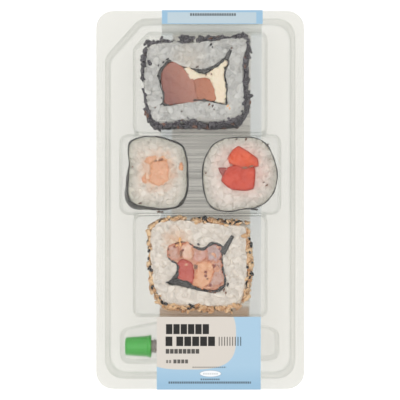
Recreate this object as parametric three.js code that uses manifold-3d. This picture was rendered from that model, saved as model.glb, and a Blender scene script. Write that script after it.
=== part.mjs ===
// A takeaway sushi tray, modelled in millimetres with +Z up and the origin at the middle of its base.
//
// A clear thermoformed tray holds two large inside-out rolls, two small seaweed rolls and a soy sauce
// bottle, each in its own pocket. A clear film is sealed to the flange, and a paper label wraps from the
// film, round the underside, and back on to the film. +Y is the end with the cut-off peel corner.
import * as THREE from "three";
import { mergeVertices } from "three/addons/utils/BufferGeometryUtils.js";
import Module from "manifold-3d";

const wasm = await Module();
wasm.setup();

// ---- Driving dimensions ----------------------------------------------------------------------------

const PACK_WIDTH = 85.3;
const PACK_LENGTH = 155;
const WALL = 0.5; // thermoformed sheet
const LABEL_THICKNESS = 0.2;
const FILM_THICKNESS = 0.15;
const LAYER_GAP = 0.1; // between sheets that lie on each other
const FOOD_GAP = 0.3; // between pieces of food that touch

const BASE_Z = LABEL_THICKNESS + LAYER_GAP; // underside of the tray
const FLOOR_Z = BASE_Z + WALL; // inside of the pockets
const RIDGE_Z = 6; // low ridges between the pockets of the rolls
const LEDGE_Z = 12; // shelf that the pockets are sunk into
const FLANGE_Z = 30.5; // top of the flange
const FILM_Z = FLANGE_Z + LAYER_GAP;
const FLAP_Z = FILM_Z + FILM_THICKNESS + LAYER_GAP; // underside of the label's two flaps
const FOOD_Z = FLOOR_Z + 0.2; // foot of the food
const ROLL_TOP_Z = 26.6; // cut face of the large rolls
const MAKI_TOP_Z = 27; // cut face of the small rolls

const FLANGE_RADIUS = 7;
const POCKET_DRAFT = 0.6; // how far a pocket's wall leans in by its floor
const FOOT_RADIUS = 1.2; // fillet where a wall meets the floor below it

// Outlines that the sheet is drawn down from, as [x, y, corner radius], anticlockwise.
const PEEL_CORNER = [
  [-24.7, 74, 5],
  [-38.6, 58.6, 5],
];
const CAVITY_TOP = [[-38.6, -72.9, 6.5], [38.6, -72.9, 6.5], [38.6, 74, 6.5], ...PEEL_CORNER];
const CAVITY_DRAFT = 1.5;
const ROLL_HALF_WIDTH = 27.6;
const MAKI_HALF_WIDTH = 33.3;
const CHAMFER = [
  [-21.5, 69.7, 2],
  [-27.6, 63, 2],
];
const TOP_POCKET = [[-ROLL_HALF_WIDTH, 28.2, 2.5], [ROLL_HALF_WIDTH, 28.2, 2.5], [ROLL_HALF_WIDTH, 69.7, 3], ...CHAMFER];
const MIDDLE_POCKET = box(-MAKI_HALF_WIDTH, -5.7, MAKI_HALF_WIDTH, 27, 3);
const LOWER_POCKET = box(-ROLL_HALF_WIDTH, -48.4, ROLL_HALF_WIDTH, -6.6, 2.5);
const CHANNEL = box(-ROLL_HALF_WIDTH + 0.5, -46, ROLL_HALF_WIDTH - 0.5, 60, 2); // lowers the ridges between those three
const SAUCE_POCKET = [
  [-33.1, -68.2, 3],
  [33.1, -68.2, 3],
  [33.1, -54.2, 3],
  [18, -51.3, 4],
  [-18, -51.3, 4],
  [-33.1, -54.2, 3],
];

// The label's long edges run very slightly askew: x at the lower flap and at the upper flap.
const LABEL_LEFT = [-17.8, -15.7];
const LABEL_RIGHT = [24.8, 25.6];
const LOWER_FLAP_END_Y = -47.9;
const UPPER_FLAP_END_Y = 72.1;

const BOTTLE = { axisY: -61.4, radius: 6.1, neckRadius: 2.6, wall: 0.6 };
const BOTTLE_AXIS_Z = FLOOR_Z + 0.2 + BOTTLE.radius;
const CAP_END_X = -31.5;
const CAP_LENGTH = 11.2;
const CAP_RADIUS = 4.65;

const SESAME = { length: 3.2, width: 2, thickness: 1.2 };
const RICE_GRAIN = { length: 6, width: 2.8, thickness: 2.2 };
const SEAWEED = 0.35; // thickness of the sheet

// ---- Cut faces of the four rolls, in millimetres from the middle of each roll ------------------------

const SALMON_ROLL = {
  centre: [-1.3, 48.3],
  body: [
    [-20.5, 16], [-13.1, 18.2], [-2.9, 18], [7.4, 19.1], [17.6, 19.5], [21.3, 18.4], [21.7, 9], [21.9, -3.3],
    [21.7, -12.3], [18, -17.6], [9.4, -18.9], [-2.9, -18.7], [-13.1, -18.9], [-18.4, -16.4], [-21.3, -9.8],
    [-22.8, -2.5], [-22.5, 6.6], [-21.5, 12.3],
  ],
  face: [
    [-18.4, 14.8], [-13.1, 16.2], [-2.9, 16.2], [6.1, 17.2], [12.7, 18], [18.9, 17.3], [19.7, 9], [18.6, -1.2],
    [19.1, -7.4], [16.8, -12.3], [10.2, -14.8], [1.2, -14.3], [-7, -15], [-16.4, -15.4], [-19.4, -10.7],
    [-20.9, -3.3], [-21, 5.7], [-19.7, 12.3],
  ],
  seaweed: [
    [-10.7, 8.6], [-6.6, 6.6], [-2, 5.7], [2.9, 5.1], [7, 6.6], [11.9, 10.2], [13.1, 8.2], [11.3, 3.7],
    [12.3, -1.6], [12.5, -7], [9.8, -8.8], [4.5, -7.2], [-1.2, -7.4], [-7, -8.2], [-13.1, -9], [-13.3, -4.9],
    [-14.8, 0], [-14.8, 4.9],
  ],
  seaweedTail: [[12, 9.6], [13.1, 11.9], [13.9, 13.5]],
  fillings: [
    { name: "salmon_left", colour: "salmon", outline: [[-10.7, 8], [-8.2, 8.2], [-5.3, 4.9], [-2, 1.6], [-0.8, -3.3], [0, -7.2], [-7, -8.2], [-12.7, -8.6], [-13.3, -4.9], [-14.3, 0], [-14.3, 4.5]] },
    { name: "salmon_right", colour: "salmon", outline: [[-1.6, 1.2], [2.5, 2.9], [5.7, 1.6], [7.2, -2.5], [7.6, -7], [3.7, -7.2], [0.4, -7.2], [-0.6, -2.5]] },
    { name: "cream_cheese", colour: "cream_cheese", outline: [[-5.3, 5.3], [-2, 6.6], [2.9, 4.3], [7, 6.1], [11.5, 9.8], [12.7, 8.6], [11.1, 3.7], [12.1, -1.6], [12.3, -7.4], [10.2, -8.6], [7.6, -7.4], [7.2, -2.5], [5.7, 2], [2.5, 3.3], [-1.6, 1.4]] },
  ],
};

const PRAWN_ROLL = {
  centre: [-0.1, -26.7],
  body: [
    [-21.3, 15.6], [-17.2, 18.9], [-8.2, 19.9], [2, 19.1], [12.3, 18.7], [20.5, 17.2], [21.3, 10.2], [22.1, 2],
    [21.9, -6.1], [19.7, -14.8], [15.6, -18.9], [6.1, -19.1], [-4.1, -19.1], [-15.2, -18], [-19.3, -13.1],
    [-21.1, -2.9], [-21.9, 8.2],
  ],
  face: [
    [-19.7, 14.4], [-16.4, 17.4], [-8.2, 18.2], [2, 17.2], [12.3, 16], [18.7, 14.8], [18.8, 8.2], [19.3, 1.2],
    [18.4, -7.8], [16, -14.8], [10.7, -17.2], [2, -17.6], [-6.1, -16.8], [-14.3, -16], [-18.2, -10.2],
    [-19.9, -1.2], [-20.3, 8.2],
  ],
  seaweed: [
    [-13.1, 7.4], [-9.4, 9], [-5.3, 9.4], [-2.9, 7.8], [1.2, 7], [5.3, 9.2], [9.4, 7.6], [9.2, 2.9], [9.6, -2],
    [10.7, -7.8], [7, -10.7], [2.9, -10.7], [-2.9, -9.8], [-8.2, -8.6], [-13.1, -7.8], [-10.2, -4.1],
    [-9.4, -0.4], [-12.9, 2.9],
  ],
  seaweedTail: [[9.4, 6.4], [11.5, 8.6], [13.3, 11.7]],
  fillings: [
    { name: "prawn_a", colour: "prawn_pale", outline: [[-12.9, 7.2], [-10.2, 8], [-8.6, 5.3], [-8.4, 2.5], [-11.1, 2.3], [-12.9, 3.7]] },
    { name: "prawn_b", colour: "prawn_pale", outline: [[-7, 7.6], [-4.9, 8.6], [-3.1, 6.6], [-3.3, 3.3], [-5.3, 2], [-7, 3.7]] },
    { name: "prawn_c", colour: "prawn_pink", outline: [[-2.5, 6.1], [0, 6.3], [2.5, 5.7], [2.7, 3.3], [0.4, 1.6], [-2.7, 2]] },
    { name: "prawn_d", colour: "prawn_grey", outline: [[3.1, 6.8], [5.3, 8.4], [8.4, 7], [8.7, 4.5], [7.4, 2], [4.1, 2]] },
    { name: "red_pepper_strip", colour: "pepper_dark", outline: [[-8.6, 1.2], [-6.6, 2], [-3.3, 0.4], [-2.7, -3.3], [-3.1, -7.4], [-6.6, -7.4], [-8.8, -5.7]] },
    { name: "prawn_e", colour: "prawn_pink", outline: [[-0.8, 0.4], [2.5, 1.2], [5.1, 0], [4.9, -4.1], [2.9, -8.2], [-0.4, -9.2], [-2.3, -7.8], [-1.6, -3.3]] },
    { name: "prawn_f", colour: "prawn_grey", outline: [[5.7, 0.8], [8.2, 1.2], [9.1, -2.5], [9.6, -7.2], [6.6, -8.8], [3.7, -8.6], [5.3, -4.5]] },
  ],
  // The dressing that the pieces are set in fills the seaweed between them.
  bed: { name: "dressing", colour: "dressing", drop: 1.2 },
};

const SALMON_MAKI = {
  centre: [-17.7, 11.2],
  body: [
    [-11.9, 12.9], [-8.2, 14.8], [-0.8, 15.4], [5.7, 13.9], [10.7, 11.5], [12.5, 5.9], [12.9, -1], [12.5, -8.4],
    [9.8, -13.7], [3.3, -15.5], [-4.9, -15.4], [-11.1, -14.6], [-13.5, -10.9], [-13.1, -2.3], [-12.1, 3.9],
    [-12.5, 9.2],
  ],
  face: [
    [-10.7, 12.5], [-7.8, 14.1], [-0.8, 14.6], [4.9, 13.1], [9.8, 10.7], [11.7, 5.9], [12.1, -1], [11.7, -8],
    [9, -12.9], [3.3, -14.6], [-2.9, -13.9], [-8.2, -12.9], [-11.1, -9.6], [-11.5, -3.1], [-11.3, 3.9],
    [-11.5, 9.2],
  ],
  fillings: [
    { name: "salmon_core", colour: "salmon_mayo", outline: [[-2, 3.7], [0.8, 4.9], [3.7, 4.3], [4.5, 0.6], [4.1, -3.5], [0.4, -5.1], [-2.5, -3.7], [-2.7, 0.2]] },
    { name: "salmon_flake_a", colour: "salmon_mayo", outline: [[-4.9, 5.1], [-2.9, 6.6], [0, 6.5], [0.4, 5.6], [-2, 4.5], [-4.1, 3.5]] },
    { name: "salmon_flake_b", colour: "salmon_mayo", outline: [[1.2, 5.8], [2.5, 7.4], [4.5, 7], [5, 5.3], [3, 5.4]] },
    { name: "salmon_flake_c", colour: "salmon_mayo", outline: [[-6.6, -2.7], [-4.6, -0.8], [-3.4, -1.8], [-3.5, -3.7], [-5.9, -3.9]] },
    { name: "salmon_flake_d", colour: "salmon_mayo", outline: [[9, 2.3], [9.8, 3.7], [10.7, 2.7], [10.5, 1], [9.2, 1]] },
  ],
};

const PEPPER_MAKI = {
  centre: [16.5, 10.6],
  body: [
    [-11.3, 12.5], [-6.4, 15], [-0.2, 15.6], [6.4, 15.2], [10.9, 12.7], [14.1, 7], [15.6, 0.8], [15, -5.3],
    [12.1, -10.7], [6.8, -14.1], [1, -14.8], [-4.7, -15.8], [-11.7, -14.1], [-14.6, -9.4], [-15.8, -2.5],
    [-15.2, 5.7],
  ],
  fillings: [
    { name: "pepper_upper", colour: "pepper_bright", outline: [[-1, 11.1], [3.1, 9], [7.4, 5.7], [6.4, 3.1], [3.5, 3.3], [0.2, 3.9], [-4.3, 4.1], [-4.9, 6.6], [-3.5, 9.2]] },
    { name: "pepper_lower", colour: "pepper_red", outline: [[-4.7, 2.3], [-1, 3.2], [2.7, 2], [5.3, 2.1], [5.9, -1.6], [4.9, -6.1], [0.2, -6.6], [-4.7, -5.5], [-7.4, -3.5], [-6.4, 0.4]] },
    { name: "pepper_scrap", colour: "pepper_dark", outline: [[-9, 2.3], [-7.1, 1.9], [-7.2, -0.6], [-8.2, 0.4]] },
  ],
};

// ---- Materials ---------------------------------------------------------------------------------------

const surface = (color, roughness, extra = {}) => new THREE.MeshStandardMaterial({ color, roughness, metalness: 0, ...extra });
const CLEAR = { transparent: true, opacity: 0.3 };
const MATERIALS = {
  tray: surface(0xe8ebe8, 0.12, CLEAR),
  film: surface(0xf2f4f3, 0.08, CLEAR),
  label: surface(0xa9d0ee, 0.55),
  bottle: surface(0xd6d8d2, 0.3, CLEAR),
  sauce: surface(0x2a140c, 0.2),
  cap: surface(0x48ba55, 0.4),
  seaweed: surface(0x23282a, 0.5),
  rice: surface(0xd3d3cc, 0.45),
  salmon: surface(0xb27468, 0.5),
  cream_cheese: surface(0xf3e3c6, 0.6),
  salmon_mayo: surface(0xe0a886, 0.5),
  prawn_pale: surface(0xe0bcae, 0.4),
  prawn_pink: surface(0xdfa284, 0.4),
  prawn_grey: surface(0xbfa3a2, 0.4),
  dressing: surface(0xd18a68, 0.3),
  pepper_bright: surface(0xe0684a, 0.35),
  pepper_red: surface(0xd05a4e, 0.35),
  pepper_dark: surface(0xb04a42, 0.4),
};

// ---- Outlines ----------------------------------------------------------------------------------------

// Corners of a rectangle, as [x, y, radius].
function box(left, low, right, high, radius) {
  return [[left, low, radius], [right, low, radius], [right, high, radius], [left, high, radius]];
}

// A repeatable sequence of numbers from 0 to 1.
function seededRandom(seed) {
  let state = seed;
  return () => {
    state = (state + 0x6d2b79f5) | 0;
    let t = Math.imul(state ^ (state >>> 15), 1 | state);
    t = (t + Math.imul(t ^ (t >>> 7), 61 | t)) ^ t;
    return ((t ^ (t >>> 14)) >>> 0) / 2 ** 32;
  };
}

// Anticlockwise loop of a polygon whose corners [x, y, radius] are rounded by arcs of a few segments.
function roundedLoop(corners, segments = 3) {
  const loop = [];
  corners.forEach(([x, y, radius], i) => {
    const corner = new THREE.Vector2(x, y);
    const [before, after] = [corners.at(i - 1), corners[(i + 1) % corners.length]]
      .map(([px, py]) => new THREE.Vector2(px, py).sub(corner).normalize());
    const halfAngle = Math.acos(before.dot(after)) / 2;
    const middle = before.clone().add(after).normalize();
    const arcCentre = corner.clone().addScaledVector(middle, radius / Math.sin(halfAngle));
    const sweep = Math.PI - 2 * halfAngle;
    const outward = middle.angle() + Math.PI;
    for (let s = 0; s <= segments; s++) {
      const angle = outward + sweep * (s / segments - 0.5);
      loop.push(new THREE.Vector2(arcCentre.x + radius * Math.cos(angle), arcCentre.y + radius * Math.sin(angle)));
    }
  });
  return loop;
}

// Anticlockwise smooth loop of evenly spaced points through hand-chosen ones.
function smoothLoop(points, count) {
  const curve = new THREE.CatmullRomCurve3(points.map(([x, y]) => new THREE.Vector3(x, y, 0)), true, "centripetal");
  const loop = curve.getSpacedPoints(count).slice(0, count).map((p) => new THREE.Vector2(p.x, p.y));
  return THREE.ShapeUtils.area(loop) < 0 ? loop.reverse() : loop;
}

// The loop moved outwards by a distance, or inwards by a negative one, along the normal at each point.
function grow(loop, distance) {
  return loop.map((point, i) => {
    const along = loop[(i + 1) % loop.length].clone().sub(loop.at(i - 1)).normalize();
    return new THREE.Vector2(point.x + along.y * distance, point.y - along.x * distance);
  });
}

function contains(loop, x, y) {
  let inside = false;
  loop.forEach((a, i) => {
    const b = loop.at(i - 1);
    if (a.y > y !== b.y > y && x < ((b.x - a.x) * (y - a.y)) / (b.y - a.y) + a.x) inside = !inside;
  });
  return inside;
}

// ---- Solids ------------------------------------------------------------------------------------------

// Closed surface through rings of equally many points, with the first and last ring capped. The rings turn
// anticlockwise as seen from the way they are stacked; flat() gives a ring's points in its own plane.
function loft(rings, flat = (p) => new THREE.Vector2(p.x, p.y)) {
  const count = rings[0].length;
  const index = [];
  for (let r = 0; r + 1 < rings.length; r++) {
    for (let i = 0; i < count; i++) {
      const [a, b] = [r * count + i, r * count + ((i + 1) % count)];
      index.push(a, b, b + count, a, b + count, a + count);
    }
  }
  const last = (rings.length - 1) * count;
  for (const [a, b, c] of THREE.ShapeUtils.triangulateShape(rings[0].map(flat), [])) index.push(a, c, b);
  for (const [a, b, c] of THREE.ShapeUtils.triangulateShape(rings.at(-1).map(flat), [])) {
    index.push(last + a, last + b, last + c);
  }
  return new THREE.BufferGeometry().setFromPoints(rings.flat()).setIndex(index);
}

const atHeight = (loop, z) => loop.map((p) => new THREE.Vector3(p.x, p.y, z));
const stack = (levels) => solidOf(loft(levels.map(([loop, z]) => atHeight(loop, z))));
const prism = (loop, low, high) => stack([[loop, low], [loop, high]]);

function solidOf(geometry) {
  const bare = geometry.clone();
  bare.deleteAttribute("normal");
  bare.deleteAttribute("uv");
  const merged = mergeVertices(bare, 1e-4);
  return new wasm.Manifold(new wasm.Mesh({
    numProp: 3,
    vertProperties: new Float32Array(merged.attributes.position.array),
    triVerts: new Uint32Array(merged.index.array),
  }));
}

function geometryOf(solid) {
  const { vertProperties, triVerts } = solid.getMesh();
  return new THREE.BufferGeometry()
    .setAttribute("position", new THREE.BufferAttribute(vertProperties, 3))
    .setIndex(new THREE.BufferAttribute(triVerts, 1));
}

// The largest connected body of a solid, without loose scraps or sealed hollows.
function mainBody(solid) {
  return solid.decompose().reduce((best, body) => (body.volume() > best.volume() ? body : best));
}

const unionOf = (solids) => solids.reduce((whole, solid) => whole.add(solid));

function piece(name, shape, material) {
  const geometry = shape.isBufferGeometry ? shape : geometryOf(shape);
  const mesh = new THREE.Mesh(geometry, MATERIALS[material]);
  mesh.name = name;
  return mesh;
}

// ---- Tray, film and label ----------------------------------------------------------------------------

// A pocket sunk from a surface down to a floor, its wall leaning in and rounded at the foot. The inside of
// the sheet runs on up through the surface. A sheet thickness grows the pocket sideways and lowers it,
// which gives the outside, and that ends within the sheet of the surface.
function pocket(corners, surfaceZ, floorZ, draft, sheet = 0) {
  const rim = grow(roundedLoop(corners), sheet);
  const [top, floor] = [surfaceZ - sheet, floorZ - sheet];
  return stack([
    [grow(rim, -draft - FOOT_RADIUS), floor],
    [grow(rim, -draft - FOOT_RADIUS * 0.3), floor + FOOT_RADIUS * 0.3],
    [grow(rim, -draft), floor + FOOT_RADIUS],
    [rim, top],
    [rim, top + (sheet ? sheet / 2 : 1)],
  ]);
}

function traySide(sheet) {
  return unionOf([
    pocket(CAVITY_TOP, FLANGE_Z, LEDGE_Z, CAVITY_DRAFT, sheet),
    pocket(CHANNEL, LEDGE_Z, RIDGE_Z, POCKET_DRAFT, sheet),
    ...[TOP_POCKET, MIDDLE_POCKET, LOWER_POCKET, SAUCE_POCKET]
      .map((corners) => pocket(corners, LEDGE_Z, FLOOR_Z, POCKET_DRAFT, sheet)),
  ]);
}

function flangeLoop() {
  return roundedLoop(box(-PACK_WIDTH / 2, -PACK_LENGTH / 2, PACK_WIDTH / 2, PACK_LENGTH / 2, FLANGE_RADIUS), 5);
}

function makeTray() {
  const flange = prism(flangeLoop(), FLANGE_Z - WALL, FLANGE_Z);
  return piece("tray", flange.add(traySide(WALL)).subtract(traySide(0)), "tray");
}

function makeFilm() {
  return piece("lid_film", prism(flangeLoop(), FILM_Z, FILM_Z + FILM_THICKNESS), "film");
}

// A band of paper that follows the pack's long section: flap, round the flange, in under the ledge to the
// base, along it, and back up to the other flap.
function makeLabel() {
  const edge = PACK_LENGTH / 2 + LAYER_GAP;
  const inner = [
    [LOWER_FLAP_END_Y, FLAP_Z], [-edge, FLAP_Z], [-edge, FLANGE_Z - WALL],
    [-73, LEDGE_Z - WALL], [-69.5, LEDGE_Z / 2], [-68.3, LABEL_THICKNESS],
    [69.8, LABEL_THICKNESS], [71, LEDGE_Z / 2], [74.2, LEDGE_Z - WALL],
    [edge, FLANGE_Z - WALL], [edge, FLAP_Z], [UPPER_FLAP_END_Y, FLAP_Z],
  ].map(([y, z]) => new THREE.Vector2(y, z));
  const outer = inner.map((point, i) => {
    const before = inner[Math.max(i - 1, 0)];
    const after = inner[Math.min(i + 1, inner.length - 1)];
    const [into, out] = [point.clone().sub(before).normalize(), after.clone().sub(point).normalize()];
    const along = into.clone().add(out).normalize();
    const distance = LABEL_THICKNESS / (into.dot(along) || 1); // further out at a corner
    return new THREE.Vector2(point.x + along.y * distance, point.y - along.x * distance);
  });
  const section = [...inner, ...outer.reverse()];
  const loop = THREE.ShapeUtils.area(section) < 0 ? section.reverse() : section;
  const share = (y) => (y - LOWER_FLAP_END_Y) / (UPPER_FLAP_END_Y - LOWER_FLAP_END_Y);
  const ring = ([low, high]) => loop.map((p) => new THREE.Vector3(low + (high - low) * share(p.x), p.x, p.y));
  return piece("label", loft([ring(LABEL_LEFT), ring(LABEL_RIGHT)], (p) => new THREE.Vector2(p.y, p.z)), "label");
}

// ---- Soy sauce bottle --------------------------------------------------------------------------------

// A body of revolution about the bottle's axis, from a profile of [distance along the axis, radius] whose
// outer side runs towards the closed end of the cap.
function turned(profile, segments = 16) {
  const geometry = new THREE.LatheGeometry(profile.map(([x, r]) => new THREE.Vector2(r, x)).reverse(), segments);
  return geometry
    .rotateZ(-Math.PI / 2)
    .translate(CAP_END_X, BOTTLE.axisY, BOTTLE_AXIS_Z);
}

function makeBottle() {
  const { radius, neckRadius, wall } = BOTTLE;
  const neckEnd = 2.5; // inside the cap
  const shoulder = CAP_LENGTH + 2.4;
  const end = 51;
  const sauceGap = 0.1;
  const outside = [
    [end, 0], [end - 0.5, radius * 0.55], [end - 2.5, radius * 0.9], [end - 6, radius],
    [shoulder + 5, radius], [shoulder + 2, radius * 0.85], [shoulder, neckRadius + 0.8],
    [shoulder - 0.4, neckRadius], [neckEnd, neckRadius],
  ];
  const inside = [
    [neckEnd, neckRadius - wall], [shoulder, neckRadius - wall], [shoulder + 2.2, radius * 0.85 - wall],
    [shoulder + 5, radius - wall], [end - 6, radius - wall], [end - 2.9, radius * 0.9 - wall],
    [end - 1, radius * 0.5 - wall], [end - wall, 0],
  ];
  const sauce = inside.slice(0, -1).map(([x, r], i, all) => [i ? x : x + 3, i === all.length - 1 ? r : r - sauceGap]);
  return [
    piece("sauce_bottle", turned([...outside, ...inside]), "bottle"),
    piece("soy_sauce", turned([[end - wall - 0.6, 0], ...sauce.reverse(), [neckEnd + 3, 0]]), "sauce"),
    piece("bottle_cap", turned([
      [2, 0], [2, neckRadius + 0.4], [CAP_LENGTH, neckRadius + 0.4], [CAP_LENGTH, CAP_RADIUS],
      [CAP_LENGTH - 1, CAP_RADIUS], [CAP_LENGTH - 1.3, CAP_RADIUS - 0.35], [3, CAP_RADIUS - 0.85],
      [0.7, CAP_RADIUS - 1.1], [0.15, CAP_RADIUS - 1.6], [0, CAP_RADIUS - 2.4], [0, 0],
    ], 18), "cap"),
  ];
}

// ---- Rolls -------------------------------------------------------------------------------------------

// A faceted grain with its length along +X, turned by an angle about +Z and then tilted to lie on a surface
// whose outward normal is given.
function grain(size, at, normal, spin) {
  const shape = new THREE.IcosahedronGeometry(0.5, 0).scale(size.length, size.width, size.thickness);
  const lie = new THREE.Quaternion().setFromUnitVectors(new THREE.Vector3(0, 0, 1), normal);
  const turn = new THREE.Quaternion().setFromAxisAngle(new THREE.Vector3(0, 0, 1), spin);
  return solidOf(shape.applyQuaternion(lie.multiply(turn)).translate(at.x, at.y, at.z));
}

// The point a share of the way round a loop, and the outward direction there.
function pointOn(loop, share) {
  const place = (((share % 1) + 1) % 1) * loop.length;
  const [a, b] = [loop[Math.floor(place) % loop.length], loop[(Math.floor(place) + 1) % loop.length]];
  const along = b.clone().sub(a).normalize();
  return { point: a.clone().lerp(b, place % 1), normal: new THREE.Vector3(along.y, -along.x, 0) };
}

// Sesame on the side of a roll: staggered rows up its height, with a seeded scatter.
function sesame(loopAt, lowZ, highZ, { rows, perRow }, random) {
  const seeds = [];
  for (let row = 0; row < rows; row++) {
    for (let i = 0; i < perRow; i++) {
      const z = lowZ + ((highZ - lowZ) * (row + 0.5)) / rows + (random() - 0.5) * 1.5;
      const { point, normal } = pointOn(loopAt(z), (i + 0.5 * (row % 2) + 0.4 * (random() - 0.5)) / perRow);
      seeds.push(grain(SESAME, new THREE.Vector3(point.x, point.y, z), normal, random() * Math.PI));
    }
  }
  return seeds;
}

// Rice grains that stand out of a cut face, kept off its edge and off the filling.
function riceGrains(face, holes, z, spacing, random) {
  const inner = grow(face, -2.6);
  const bounds = new THREE.Box2().setFromPoints(inner);
  const kept = [];
  for (let tries = 0; tries < 900; tries++) {
    const x = THREE.MathUtils.lerp(bounds.min.x, bounds.max.x, random());
    const y = THREE.MathUtils.lerp(bounds.min.y, bounds.max.y, random());
    const clear = contains(inner, x, y) && !holes.some((hole) => contains(hole, x, y));
    if (clear && kept.every(([px, py]) => Math.hypot(px - x, py - y) > spacing)) kept.push([x, y]);
  }
  return kept.map(([x, y]) => grain(RICE_GRAIN, new THREE.Vector3(x, y, z - 0.6), new THREE.Vector3(0, 0, 1), random() * Math.PI));
}

// Smooth outline of a piece of filling, with points to suit its size.
function fillingLoop({ outline }) {
  const { x, y } = new THREE.Box2().setFromPoints(outline.map((p) => new THREE.Vector2(...p))).getSize(new THREE.Vector2());
  return smoothLoop(outline, x + y < 7 ? 8 : 14);
}

// A piece of filling that runs through the roll, softened at its upper edge.
function fillingSolid(loop, topZ) {
  const soften = loop.length < 14 ? 0.2 : 0.5;
  return stack([[loop, FOOD_Z], [loop, topZ - soften], [grow(loop, -soften), topZ]]);
}

// The pieces of filling as solids, each kept clear of the ones before it and inside a space if one is given.
function makeFillings(prefix, fillings, topZ, space) {
  const loops = fillings.map(fillingLoop);
  return fillings.map(({ name, colour }, i) => {
    let solid = fillingSolid(grow(loops[i], -FOOD_GAP / 2), topZ - 0.3 * (i % 3));
    if (space) solid = solid.intersect(space);
    for (const earlier of loops.slice(0, i)) solid = solid.subtract(prism(grow(earlier, FOOD_GAP / 2), 0, FLANGE_Z));
    return piece(`${prefix}_${name}`, mainBody(solid), colour);
  });
}

// A large roll: seeded rice outside, a folded sheet of seaweed inside it, and the filling within that.
function makeInsideOutRoll(prefix, roll, seeds, seed) {
  const random = seededRandom(seed);
  const top = ROLL_TOP_Z;
  const body = grow(smoothLoop(roll.body, 36), -0.9);
  const face = smoothLoop(roll.face, 36);
  const outerSheet = smoothLoop(roll.seaweed, 32);
  const innerSheet = grow(outerSheet, -SEAWEED);
  const tail = tailLoop(roll.seaweedTail);

  const levels = [[grow(body, -0.9), FOOD_Z], [body, 5], [body, top - 7], [face, top - 1], [grow(face, -0.8), top]];
  const shoulder = (z) => (z < top - 7 ? body : body.map((p, i) => p.clone().lerp(face[i], (z - top + 7) / 6)));
  const hole = grow(outerSheet, FOOD_GAP);
  const coat = sesame(shoulder, 4.5, top - 1, seeds, random);
  const crumb = riceGrains(face, [grow(outerSheet, 2.6), grow(tail, 2)], top, 6.6, random);
  const rice = unionOf([stack(levels), ...coat, ...crumb])
    .subtract(prism(hole, 0, FLANGE_Z))
    .subtract(prism(grow(tail, FOOD_GAP), 0, FLANGE_Z));

  const sheet = prism(outerSheet, FOOD_Z, top + 0.2)
    .add(prism(tail, FOOD_Z, top + 0.2))
    .subtract(prism(innerSheet, 0, FLANGE_Z));
  const space = prism(grow(innerSheet, -FOOD_GAP / 2), 0, FLANGE_Z);
  const fillings = makeFillings(prefix, roll.fillings, top, space);
  const pieces = [piece(`${prefix}_rice`, mainBody(rice), "rice"), piece(`${prefix}_seaweed`, mainBody(sheet), "seaweed"), ...fillings];
  if (roll.bed) pieces.push(makeBed(prefix, roll, space, top));
  return placed(pieces, roll.centre);
}

// The free end of the folded sheet, a tapering strip that sticks out into the rice.
function tailLoop(points) {
  const [root, middle, tip] = points.map(([x, y]) => new THREE.Vector2(x, y));
  const across = tip.clone().sub(root).normalize().rotateAround(new THREE.Vector2(), Math.PI / 2);
  const side = (at, half) => at.clone().addScaledVector(across, half);
  const loop = [side(root, -0.8), side(middle, -0.45), side(tip, -0.2), side(tip, 0.2), side(middle, 0.45), side(root, 0.8)];
  return THREE.ShapeUtils.area(loop) < 0 ? loop.reverse() : loop;
}

function makeBed(prefix, roll, space, top) {
  let bed = space.intersect(prism(grow(smoothLoop(roll.seaweed, 32), 1), FOOD_Z, top - roll.bed.drop));
  for (const filling of roll.fillings) bed = bed.subtract(prism(grow(fillingLoop(filling), FOOD_GAP / 2), 0, FLANGE_Z));
  return piece(`${prefix}_${roll.bed.name}`, mainBody(bed), roll.bed.colour);
}

// A small roll: seaweed outside, rice within it, and the filling in the middle.
function makeMaki(prefix, roll, seed) {
  const random = seededRandom(seed);
  const top = MAKI_TOP_Z;
  const body = smoothLoop(roll.body, 28);
  const face = roll.face ? smoothLoop(roll.face, 28) : grow(body, -0.5);
  const rim = grow(face, SEAWEED + 0.1);
  const shell = (inset, end) => stack([
    [grow(body, -0.9 - inset), FOOD_Z], [grow(body, -0.2 - inset), 5], [grow(body, -0.2 - inset), top - 9], [grow(rim, -inset), end],
  ]);
  const sheet = shell(0, top + 0.2).subtract(shell(SEAWEED, top + 0.3).add(prism(grow(body, -1.8), 0, 5)));
  const holes = roll.fillings.map(fillingLoop);
  let rice = shell(SEAWEED + FOOD_GAP / 2, top);
  rice = unionOf([rice, ...riceGrains(face, holes.map((hole) => grow(hole, 2)), top, 6.4, random)]);
  for (const hole of holes) rice = rice.subtract(prism(grow(hole, FOOD_GAP / 2), 0, FLANGE_Z));
  return placed([
    piece(`${prefix}_rice`, mainBody(rice), "rice"),
    piece(`${prefix}_seaweed`, mainBody(sheet), "seaweed"),
    ...makeFillings(prefix, roll.fillings, top),
  ], roll.centre);
}

function placed(pieces, [x, y]) {
  const group = new THREE.Group();
  group.position.set(x, y, 0);
  return group.add(...pieces);
}

// ---- The pack ----------------------------------------------------------------------------------------

const pack = new THREE.Group();
pack.add(
  makeTray(),
  makeFilm(),
  makeLabel(),
  ...makeBottle(),
  makeInsideOutRoll("salmon_roll", SALMON_ROLL, { rows: 4, perRow: 16 }, 11),
  makeInsideOutRoll("prawn_roll", PRAWN_ROLL, { rows: 4, perRow: 16 }, 23),
  makeMaki("salmon_maki", SALMON_MAKI, 37),
  makeMaki("pepper_maki", PEPPER_MAKI, 53),
);

export default pack;
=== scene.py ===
"""Takeaway sushi tray: the visual model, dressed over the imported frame.

A clear tray with two large inside-out rolls, two small seaweed rolls and a soy sauce bottle, under a sealed
film and a wrapped paper label. Every shape is worked out with numpy in millimetres, in the frame of the
solids: +Z up, +Y towards the peel corner, origin under the middle of the pack. It becomes metres only when
it is written into a mesh, and where a finish gives a centre for its pattern.
"""

from __future__ import annotations

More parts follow.
